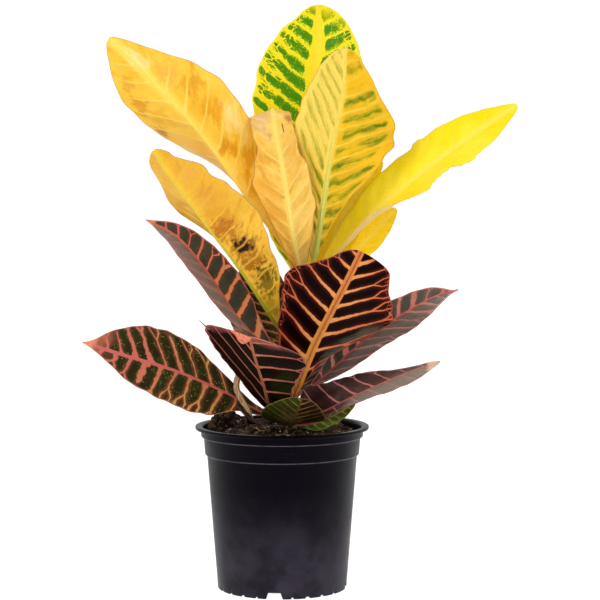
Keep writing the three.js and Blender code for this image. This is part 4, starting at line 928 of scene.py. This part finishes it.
def leaf_skin(leaf, seed):
    """Rings of points round a leaf from its petiole to its tip, and what its materials read there."""
    path = Path([stem_point_at(leaf.z)] + leaf.spine)
    size = FINE_LEAF if path.total > SMALL_LEAF_LENGTH and not leaf.hidden else PLAIN_LEAF
    blade = path.total - leaf.petiole
    even = np.linspace(0, 1, size["rows"])
    shares = ROWS_EVEN * even + ROWS_DRAWN * (1 - np.cos(math.pi * even))
    stalk = (np.linspace(PETIOLE_START, leaf.petiole, PETIOLE_ROWS + 1)[:-1] - leaf.petiole) / blade
    shares = np.concatenate([stalk, shares])
    lengths = leaf.petiole + shares * blade
    centre, tangent = path.at(lengths), path.tangents(lengths)
    facing = smooth_values(leaf.face, shares)
    up = unit(facing - (facing * tangent).sum(-1, keepdims=True) * tangent)
    right = np.cross(tangent, up)

    rib = PETIOLE_RADIUS + (RIB_TIP_RADIUS - PETIOLE_RADIUS) * np.sqrt(np.clip(shares, 0, 1))
    rib = rib * (1 + PETIOLE_FLARE * (1 - ease(lengths, PETIOLE_START, 4 * PETIOLE_START)))
    widths = leaf_outline(leaf, shares, seed)
    reach = [np.maximum(width, rib) for width in widths]
    ribs = [np.minimum(rib, RIB_SHARE * width) for width in reach]
    columns = [leaf_columns(w, r, size["outer"]) for w, r in zip(reach, ribs)]
    sideways = np.hstack([-columns[0][:, :0:-1], columns[1]])
    side = (sideways[0] >= 0).astype(int)
    width = np.stack(reach, -1)[:, side]
    ridge = np.stack(ribs, -1)[:, side]
    distance = np.abs(sideways)
    across = distance / width
    share = shares[:, None] + 0 * across

    lean = 1 / np.tan(np.radians(np.broadcast_to(leaf.lean, 2)[side]))
    along = share * blade
    root = (along - distance * lean - leaf.bow * distance**2 / width) / blade
    phase = np.broadcast_to(leaf.count, 2)[side] * np.sign(root) * np.abs(root) ** leaf.crowd
    phase = phase + VEIN_SHIFT * side * ease(distance / ridge, 0.2, 1.0)
    rim = width * (1 - across)
    swell = leaf.quilt * QUILT * np.abs(np.sin(math.pi * phase)) ** 1.2
    swell = swell * ease(distance - ridge, 0, QUILT_FROM_RIB) * ease(rim, 0, QUILT_FROM_RIM)

    fold = smooth_values(leaf.fold, shares)[:, side]
    edge = smooth_values(leaf.edge or leaf.fold, shares)[:, side]
    x, z = bend(across, fold, edge)
    height, waves = (np.broadcast_to(value, 2)[side] for value in leaf.wave)
    turns = 2 * math.pi * (waves * share + (leaf.wave_start + WAVE_SHIFT * side))
    ripple = height * np.sin(math.pi * np.clip(share, 0, 1)) ** 0.6 * across**1.6 * np.sin(turns)
    over = ((2 * side - 1) * x * width)[..., None]
    lift = (z * width + ripple + swell)[..., None]
    middle = centre[:, None] + right[:, None] * over + up[:, None] * lift
    normal = unit(np.cross(np.gradient(middle, axis=1), np.gradient(middle, axis=0)))
    thick = BLADE_HALF * (1 - MARGIN_THIN * ease(across, MARGIN_START, 1.0))
    bulge = np.sqrt(np.maximum(ridge**2 - distance**2, 0))
    upper = middle + normal * (thick + RIB_UPPER * bulge)[..., None]
    under = middle - normal * (thick + bulge)[..., None]

    angle = math.pi / 2 * (1 - 0.98 * np.sign(sideways) * across)
    round_side = right[:, None] * (rib[:, None] * np.cos(angle))[..., None]
    round_up = up[:, None] * (rib[:, None] * np.sin(angle))[..., None]
    flatness = ease(np.maximum(*widths) / rib, 1.0, STALK_ENDS)[:, None, None]
    upper = flatness * upper + (1 - flatness) * (centre[:, None] + round_side + round_up)
    under = flatness * under + (1 - flatness) * (centre[:, None] + round_side - round_up)
    rings = np.hstack([upper, under[:, ::-1]])

    def both(*values):
        return np.hstack([np.stack(values, -1), np.stack(values, -1)[:, ::-1]])

    turn = 0 * share + LEAF_SEED * seed
    painted = {
        "vein": both(phase, across, share),
        "flat": both(along, sideways, turn),
        "edge": both(distance / np.maximum(ridge, 0.2), rim, turn),
    }
    return rings, painted, lengths / path.total, np.sign(sideways) * across


def leaf_map(piece, rings, level, spread):
    """A flat layout of the leaf's skin: its upper side on the left half and its underside on the right."""
    rows, count = rings.shape[:2]
    left = 0.01 + 0.24 * (1 + spread)
    other = 0.51 + 0.24 * (1 - spread[:, ::-1])
    u = 0.98 * np.hstack([left, other, np.ones((rows, 1))])
    v = (0.03 + 0.94 * level)[:, None] + 0 * u
    spot = np.stack([u, v], -1)
    quads = np.stack([spot[:-1, :-1], spot[:-1, 1:], spot[1:, 1:], spot[1:, :-1]], 2).reshape(-1, 2)
    fans = []
    for row, lift, order in ((0, -0.02, (2, 1, 0)), (rows - 1, 0.02, (2, 0, 1))):
        first, second = spot[row, :-1], spot[row, 1:]
        hub = (first + second) / 2 + np.array([0, lift])
        fans.append(np.stack([(first, second, hub)[k] for k in order], 1).reshape(-1, 2))
    layer = piece.data.uv_layers.new(name="OFBake")
    layer.data.foreach_set("uv", np.vstack([quads, *fans]).astype(np.float32).ravel())


def build_leaf(name, leaf, seed):
    rings, painted, level, spread = leaf_skin(leaf, seed)
    rows, count = rings.shape[:2]
    underside = np.tile(np.arange(count) >= count // 2 - 1, rows - 1).astype(int)
    sides = np.concatenate([underside, np.ones(2 * count, int)])
    materials = [paint_for(look) for look in leaf.looks]
    slot = look_of(leaf.looks[0])["slot"]
    piece = make_piece(name + "_blade", closed_rings(rings), materials, [name], sides)
    for key, values in painted.items():
        hubs = values[[0, -1]].mean(1)
        add_attribute(piece, key, np.vstack([values.reshape(-1, 3), hubs]))
    leaf_map(piece, rings, level, spread)


def lobe_paint():
    p = Paint("leaf_lobe")
    tone = p.noise(p.place(), 1 / 4, 3, 0.6)
    colour = p.mix(p.ease(tone, 0.35, 0.65), "#cf6a58", "#ee8f66")
    return p.finish(colour, 0.5, tone * 0.3, Specular_IOR_Level=0.2)


def thread_paint():
    p = Paint("leaf_thread")
    return p.finish(p.mix(p.noise(p.place(), 1 / 2), "#4a3a36", "#7d6660"), 0.7, Specular_IOR_Level=0.2)


def build_lobe():
    """The piece of margin that folds over the front left leaf, and the dry thread at that leaf's corner."""
    over = smooth_values(LOBE, np.linspace(0, 1, LOBE_COLUMNS))
    down = np.linspace(0, 1, LOBE_ROWS)
    x = over[:, None, 0] + (over[:, None, 2] - over[:, None, 0]) * down
    z = over[:, None, 1] + (over[:, None, 3] - over[:, None, 1]) * down
    ends = np.sin(math.pi * np.linspace(0.06, 0.94, LOBE_COLUMNS))[:, None]
    off = LOBE_REST + LOBE_SWELL * np.sin(math.pi * (down * 0.8 + 0.1)) * ends
    x0, y0, z0 = LEAVES["leaf_dark_front_left"]["spine"][-1]
    y = y0 + LOBE_SLOPE[0] * (x - x0) + LOBE_SLOPE[1] * (z - z0) - off
    front = np.stack([x, y, z], -1)
    back = front + np.array([0, 2 * BLADE_HALF, 0])
    skin = closed_rings(np.hstack([front, back[:, ::-1]])[::-1])
    make_piece("leaf_dark_front_left_lobe", skin, [lobe_paint()])
    skin = closed_rings(tube_rings(THREAD, np.linspace(*THREAD_RADII, THREAD_ROWS), THREAD_SIDES))
    make_piece("leaf_dark_front_left_thread", skin, [thread_paint()])


build_lobe()

paints = {}


def paint_for(look):
    if look not in paints:
        paints[look] = leaf_paint(look, len(paints))
    return paints[look]


for number, (name, measures) in enumerate(LEAVES.items()):
    build_leaf(name, SimpleNamespace(**{**LEAF, **measures}), number)

# ---------------------------------------------------------------- stem


def bark_paint():
    p = Paint("stem_bark")
    spot = p.place()
    grain = p.noise(p.value("ShaderNodeMapping", {0: spot, 3: (1.0, 1.0, 0.25)}), 0.9, 5, 0.65)
    colour = p.mix(p.ease(grain, 0.35, 0.7), "#5d4a33", "#8d7a58")
    height = p.parts(spot)[2]
    colour = p.mix(p.ease(height, 190, 285), colour, "#7f8a3c")
    scars = p.ease(p.math("PINGPONG", height + grain * 5, STEM_RIDGE_PITCH / 2), 1.4, 0.5)
    colour = p.mix(scars * 0.7, colour, "#3e2f20")
    return p.finish(colour, 0.75, grain * 0.5 + scars * -0.2)


def build_stem():
    lengths = np.linspace(0, stem_path.total, STEM_ROWS)
    share = lengths / stem_path.total
    radius = STEM_FOOT_RADIUS + (STEM_TOP_RADIUS - STEM_FOOT_RADIUS) * share
    radius += STEM_RIDGE * np.cos(2 * math.pi * lengths / STEM_RIDGE_PITCH) ** 7
    radius *= 1 - STEM_TOP_TAPER * ease(share, STEM_TOP_START, 1.0)
    angle, out = circle(STEM_SIDES)
    lumps = 1 + 0.04 * np.sin(3 * angle + 9 * share[:, None]) + 0.03 * np.sin(5 * angle - 31 * share[:, None])
    out = np.column_stack([out, 0 * angle])
    rings = stem_path.at(lengths)[:, None] + out * (radius[:, None] * lumps)[..., None]
    make_piece("stem_wood", closed_rings(rings), [bark_paint()], ["stem"])


build_stem()

# ---------------------------------------------------------------- soil


def soil_height(x, y):
    lumps = np.sin(x * 0.31 + 1) * np.cos(y * 0.27) + 0.6 * np.sin(x * 0.12 - y * 0.41)
    z = SOIL_TOP + SOIL_LUMP * lumps
    for mound_x, mound_y, height, spread in SOIL_MOUNDS:
        z = z + height * np.exp(-((x - mound_x) ** 2 + (y - mound_y) ** 2) / (2 * spread**2))
    return z


def soil_paint(name):
    dark, light, rough = SOIL_PAINTS[name]
    p = Paint(name)
    spot = p.place()
    tone = p.attribute("shade", "Fac") * 0.6 + p.noise(spot, 0.7, 4, 0.7) * 0.5
    colour = p.mix(p.ease(tone, 0.25, 0.95), dark, light)
    return p.finish(colour, rough, p.noise(spot, 1.6, 5, 0.75) * 0.6, Specular_IOR_Level=0.3)


def soil_places(rng, count, heaped):
    """Random places on the soil; heaped is the share that lies on the first mound."""
    spot = SOIL_RADIUS * np.sqrt(rng.uniform(0, 0.97, count))
    turn = rng.uniform(0, 2 * math.pi, count)
    xy = np.column_stack([spot * np.cos(turn), spot * np.sin(turn)])
    mound_x, mound_y, _, spread = SOIL_MOUNDS[0]
    near = rng.uniform(size=count) < heaped
    pile = rng.normal(size=(count, 2)) * spread * 0.8 + (mound_x, mound_y)
    pile *= np.minimum(1, (SOIL_RADIUS - 3) / np.linalg.norm(pile, axis=1))[:, None]
    xy = np.where(near[:, None], pile, xy)
    return np.column_stack([xy, soil_height(xy[:, 0], xy[:, 1])])


def build_bed():
    clear = WALL + GAP
    floor = FLOOR_Z + FLOOR + GAP
    side = [
        (PAD_RADIUS - GAP, FLOOR + GAP), (PAD_RADIUS + PAD_BLEND - GAP, floor),
        (BASE_RADIUS - clear - FLOOR_ROUND, floor), (BASE_RADIUS - clear, floor + FLOOR_ROUND),
        (STEP_RADIUS - clear, STEP_Z), (BAND_RADIUS - clear, STEP_Z + WALL + GAP),
        (SOIL_RADIUS, SOIL_TOP - SOIL_SHOULDER),
    ]
    out = circle(SOIL_SIDES)[1]
    rings = [np.column_stack([radius * out, np.full(SOIL_SIDES, z)]) for radius, z in side]
    for radius in np.linspace(SOIL_RADIUS, 1, SOIL_RINGS):
        x, y = radius * out.T
        z = soil_height(x, y) + 0.7 * np.sin(x * 1.3 + 2 * np.sin(y * 0.9)) * np.sin(y * 1.1 + 1)
        rings.append(np.column_stack([x, y, z]))
    skin = closed_rings(np.stack(rings))
    bed = make_piece("soil_bed", skin, [soil_paint("soil_bed")], ["soil"])
    add_attribute(bed, "shade", np.full(len(skin[0]), BED_SHADE))


def lumpy_balls(rng, kinds, divisions, lumpiness):
    """Points of several irregular lumps of unit size, and the faces that they share."""
    made = bmesh.new()
    bmesh.ops.create_icosphere(made, subdivisions=divisions, radius=1)
    base = np.array([v.co for v in made.verts])
    faces = np.array([[v.index for v in f.verts] for f in made.faces])
    made.free()
    lumps = []
    for _ in range(kinds):
        swell = np.zeros(len(base))
        for k in range(9):
            wave = rng.normal(size=3) * (1.2 + 0.5 * k)
            swell += np.sin(base @ wave + rng.uniform(0, 6.3)) / (1.2 + 0.5 * k)
        lumps.append(base * (1 + lumpiness * swell)[:, None] * rng.uniform(0.65, 1.1, 3))
    return lumps, faces


def build_grains(rng, name, material, kinds, divisions, lumpiness, sizes, count, heaped, lift):
    """One mesh of lumps turned at random and set down on the soil, with a shade for each."""
    lumps, lump_faces = lumpy_balls(rng, kinds, divisions, lumpiness)
    size = rng.uniform(*sizes, count)
    spots = soil_places(rng, count, heaped)
    low, high = lift
    spots[:, 2] += size * (rng.uniform(low, high, count) if high > low else low)
    points, faces, shades = [], [], []
    for number, spot in enumerate(spots):
        lump = lumps[rng.integers(kinds)]
        turned = np.linalg.qr(rng.normal(size=(3, 3)))[0]
        turned *= np.sign(np.linalg.det(turned))
        points.append(lump @ turned * size[number] + spot)
        faces.append(lump_faces + number * len(lump))
        shades.append(np.full(len(lump), rng.uniform(0, 1)))
    grains = make_piece(name, (np.vstack(points), np.vstack(faces).tolist()), [material])
    add_attribute(grains, "shade", np.concatenate(shades))


def build_fibres(rng):
    points, faces, shades = [], [], []
    held = 0
    for _ in range(FIBRE_COUNT):
        start = soil_places(rng, 1, 0.0)[0]
        heading = rng.uniform(0, 2 * math.pi)
        length = rng.uniform(*FIBRE_LENGTHS)
        line = []
        for step in np.linspace(0, 1, FIBRE_POINTS):
            heading += rng.normal() * FIBRE_BEND
            spot = start[:2] + step * length * np.array([math.cos(heading), math.sin(heading)])
            spot *= min(1, (SOIL_RADIUS - 2) / np.linalg.norm(spot))
            arch = FIBRE_ARCH * math.sin(math.pi * step) * rng.uniform()
            line.append([*spot, float(soil_height(*spot)) + FIBRE_LIFT + arch])
        radii = rng.uniform(*FIBRE_RADII) * (1 - 0.5 * np.linspace(0, 1, FIBRE_ROWS))
        fibre_points, fibre_faces = closed_rings(tube_rings(line, radii, FIBRE_SIDES))
        points.append(fibre_points)
        faces += [tuple(i + held for i in face) for face in fibre_faces]
        shades.append(np.full(len(fibre_points), rng.uniform()))
        held += len(fibre_points)
    fibres = make_piece("soil_fibres", (np.vstack(points), faces), [soil_paint("straw")])
    add_attribute(fibres, "shade", np.concatenate(shades))


def build_soil():
    rng = np.random.default_rng(SOIL_SEED)
    build_bed()
    made = {}
    for name, paint, *measures in GRAINS:
        if paint not in made:
            made[paint] = soil_paint(paint)
        build_grains(rng, name, made[paint], *measures)
    build_fibres(rng)


build_soil()

# ---------------------------------------------------------------- pot


def pot_paint():
    p = Paint("pot_plastic")
    spot = p.place()
    height = p.parts(spot)[2]
    cloud = p.noise(spot, 1 / 38, 4, 0.6)
    fine = p.noise(spot, 1 / 2.5, 4, 0.7)
    # paler towards the bottom, in clouds and in fine specks: partly dust, partly a painted sheen that reflects
    # the pale floor
    dust_and_sheen = p.ease(height, 110, 15) * p.ease(cloud, 0.3, 0.7, 0.3, 1.0) + p.ease(fine, 0.6, 0.8) * 0.15
    colour = p.mix(dust_and_sheen, "#020103", "#332f38")
    across = p.value("ShaderNodeMapping", {0: spot, 3: (0.05, 0.05, 2.2)})
    scuffs = p.ease(p.noise(across, 1.0, 3, 0.7, 0.4), 0.66, 0.74)
    colour = p.mix(scuffs * 0.25, colour, "#57545c")
    # a pale line along each step edge: a painted highlight
    for edge in POT_HIGHLIGHT_EDGES:
        highlight_line = p.ease(abs(height - edge), POT_HIGHLIGHT_WIDTH, 0.1)
        colour = p.mix(highlight_line * p.ease(p.noise(spot, 1 / 9, 2), 0.25, 0.6, 0.25, 0.6), colour, "#66626c")
    rough = p.ease(cloud + fine * 0.2, 0.3, 0.9, 0.3, 0.46)
    relief = fine * 0.02 + p.noise(spot, 1 / 14, 2) * 0.25
    return p.finish(colour, rough, relief, Specular_IOR_Level=0.09, Specular_Tint="#cbb9e6")


def rounded(profile, radius, steps=4):
    """The profile with each of its corners turned into a small curve."""
    points = np.array(profile, float)
    out = [points[0]]
    for before, corner, after in zip(points, points[1:], points[2:]):
        before, after = before - corner, after - corner
        reach = min(radius, 0.45 * np.linalg.norm(before), 0.45 * np.linalg.norm(after))
        first, last = corner + unit(before) * reach, corner + unit(after) * reach
        for t in np.linspace(0, 1, steps):
            out.append((1 - t) ** 2 * first + 2 * t * (1 - t) * corner + t**2 * last)
    return np.array(out + [points[-1]])


def foot_lift(angle):
    """How far the foot's lower edge is cut away at an azimuth in degrees."""
    pitch = 360 / NOTCH_COUNT
    turn = (angle - NOTCH_TURN + pitch / 2) % pitch - pitch / 2
    reach = abs(turn) * math.pi / 180 * BASE_RADIUS
    wide = np.clip((NOTCH_BOTTOM_WIDTH / 2 - reach) / (NOTCH_BOTTOM_WIDTH - NOTCH_TOP_WIDTH) * 2, 0, 1)
    small = (turn + SCALLOP_PITCH / 2) % SCALLOP_PITCH - SCALLOP_PITCH / 2
    near = abs(small) * math.pi / 180 * BASE_RADIUS
    scallop = SCALLOP_HEIGHT * ease(-near, -SCALLOP_WIDTH / 2, -SCALLOP_WIDTH / 2 + 0.8)
    scallop = np.where(reach > NOTCH_BOTTOM_WIDTH, scallop, 0)
    return np.where(reach < NOTCH_BOTTOM_WIDTH / 2, NOTCH_HEIGHT * ease(wide, 0, 1), scallop)


def build_pot():
    foot = BASE_RADIUS - FOOT_WIDTH
    floor = FLOOR_Z + FLOOR
    under = [(0.5, 0), (PAD_RADIUS, 0), (PAD_RADIUS + PAD_BLEND, FLOOR_Z), (foot, FLOOR_Z)]
    outer = [
        (foot, 0), (BASE_RADIUS, 0), (BASE_RADIUS + 0.5, FOOT_HEIGHT), (STEP_RADIUS, STEP_Z),
        (BAND_RADIUS, STEP_Z + STEP_RISE), (BAND_TOP_RADIUS, COLLAR_Z), (COLLAR_RADIUS, COLLAR_Z + STEP_RISE),
        (COLLAR_RADIUS, LIP_Z), (LIP_RADIUS, LIP_Z), (LIP_RADIUS, POT_HEIGHT), (COLLAR_RADIUS, POT_HEIGHT),
    ]
    inner = [
        (COLLAR_RADIUS - WALL, POT_HEIGHT - WALL), (COLLAR_RADIUS - WALL, COLLAR_Z + WALL),
        (BAND_TOP_RADIUS - WALL, COLLAR_Z), (BAND_RADIUS - WALL, STEP_Z + WALL), (STEP_RADIUS - WALL, STEP_Z),
        (BASE_RADIUS - WALL, floor + FLOOR_ROUND), (BASE_RADIUS - WALL - FLOOR_ROUND, floor),
        (PAD_RADIUS + PAD_BLEND, floor), (PAD_RADIUS, FLOOR), (0.5, FLOOR),
    ]
    radius, z = rounded([*under, *outer, *inner], POT_ROUND).T
    angle = np.linspace(0, 360, POT_SIDES, endpoint=False)
    lift = foot_lift(angle)[:, None]
    at_foot = (radius > foot - 1) & (z < FOOT_HEIGHT)
    ring_z = np.where(at_foot, lift + z * (FOOT_HEIGHT - lift) / FOOT_HEIGHT, z)
    ring_z = np.where(at_foot & (radius < foot + 0.01) & (z > FLOOR_Z - 1), np.maximum(z, lift), ring_z)
    turn = np.radians(angle)[:, None]
    rings = np.stack([radius * np.cos(turn), radius * np.sin(turn), ring_z], -1)
    skin = closed_rings(np.swapaxes(rings, 0, 1))
    pot = make_piece("pot_shell", skin, [pot_paint()], ["pot"], sharp=POT_SHARP)
    for k in range(NOTCH_COUNT):
        cut_drain(pot, math.radians(NOTCH_TURN + k * 360 / NOTCH_COUNT))


def cut_drain(pot, turn):
    """A hole through the pot's raised floor."""
    bpy.ops.mesh.primitive_cylinder_add(
        radius=DRAIN_RADIUS * MM, depth=4 * FLOOR * MM, vertices=DRAIN_SIDES,
        location=(DRAIN_CIRCLE * MM * math.cos(turn), DRAIN_CIRCLE * MM * math.sin(turn), FLOOR_Z * MM))
    cutter = bpy.context.object
    cut = pot.modifiers.new("drain", "BOOLEAN")
    cut.object = cutter
    cut.solver = "EXACT"
    made = bpy.data.meshes.new_from_object(pot.evaluated_get(bpy.context.evaluated_depsgraph_get()))
    pot.modifiers.clear()
    pot.data = made
    bpy.data.objects.remove(cutter)


build_pot()

# ---------------------------------------------------------------- stage, lamps and camera


def build_floor():
    mesh = bpy.data.meshes.new("floor")
    corners = [(FLOOR_LEFT, FLOOR_FRONT, 0), (FLOOR_RIGHT, FLOOR_FRONT, 0), (FLOOR_RIGHT, FLOOR_BACK, 0),
               (FLOOR_LEFT, FLOOR_BACK, 0)]
    mesh.from_pydata(corners, [], [(0, 1, 2, 3)])
    glow = dict(Specular_IOR_Level=0.0, Emission_Color=STUDIO_COLOUR, Emission_Strength=FLOOR_GLOW)
    mesh.materials.append(Paint("floor_paper").finish(FLOOR_PAPER, 1.0, **glow))
    floor = bpy.data.objects.new("floor", mesh)
    bpy.context.scene.collection.objects.link(floor)


def build_studio():
    world = bpy.data.worlds.new("studio")
    world.use_nodes = True
    sky = Paint("studio_light", world.node_tree)
    depth = sky.parts(sky.value("ShaderNodeTexCoord", {}, "Generated"))[1]
    seen = sky.value("ShaderNodeLightPath", {}, "Is Camera Ray")
    brightness = sky.ease(depth, -0.5, 0.6, STUDIO_FRONT, STUDIO_WALL)
    brightness = sky.math("MAXIMUM", brightness, seen * STUDIO_WALL)
    shine = sky.value("ShaderNodeBackground", {"Color": STUDIO_COLOUR, "Strength": brightness})
    sky.node("ShaderNodeOutputWorld", {"Surface": shine})
    bpy.context.scene.world = world


def build_lamps():
    for number, (place, size, power, tint, glossy) in enumerate(LAMPS):
        light = bpy.data.lights.new(f"lamp_{number}", "AREA")
        light.size, light.energy, light.color = size, power, ink(tint)[:3]
        lamp = bpy.data.objects.new(light.name, light)
        lamp.location = place
        lamp.visible_glossy = glossy
        x, y, z = np.array(place) - TARGET
        lamp.rotation_euler = (math.atan2(math.hypot(x, y), z), 0, math.atan2(x, -y))
        bpy.context.scene.collection.objects.link(lamp)


def build_camera():
    lens = bpy.data.cameras.new("camera")
    lens.lens, lens.sensor_width = CAMERA_LENS, CAMERA_SENSOR
    camera = bpy.data.objects.new("camera", lens)
    camera.location = CAMERA_PLACE
    camera.rotation_euler = (math.radians(90 - CAMERA_PITCH), 0, 0)
    bpy.context.scene.collection.objects.link(camera)
    bpy.context.scene.camera = camera


build_floor()
build_studio()
build_lamps()
build_camera()
bpy.context.scene.view_settings.view_transform = "Standard"
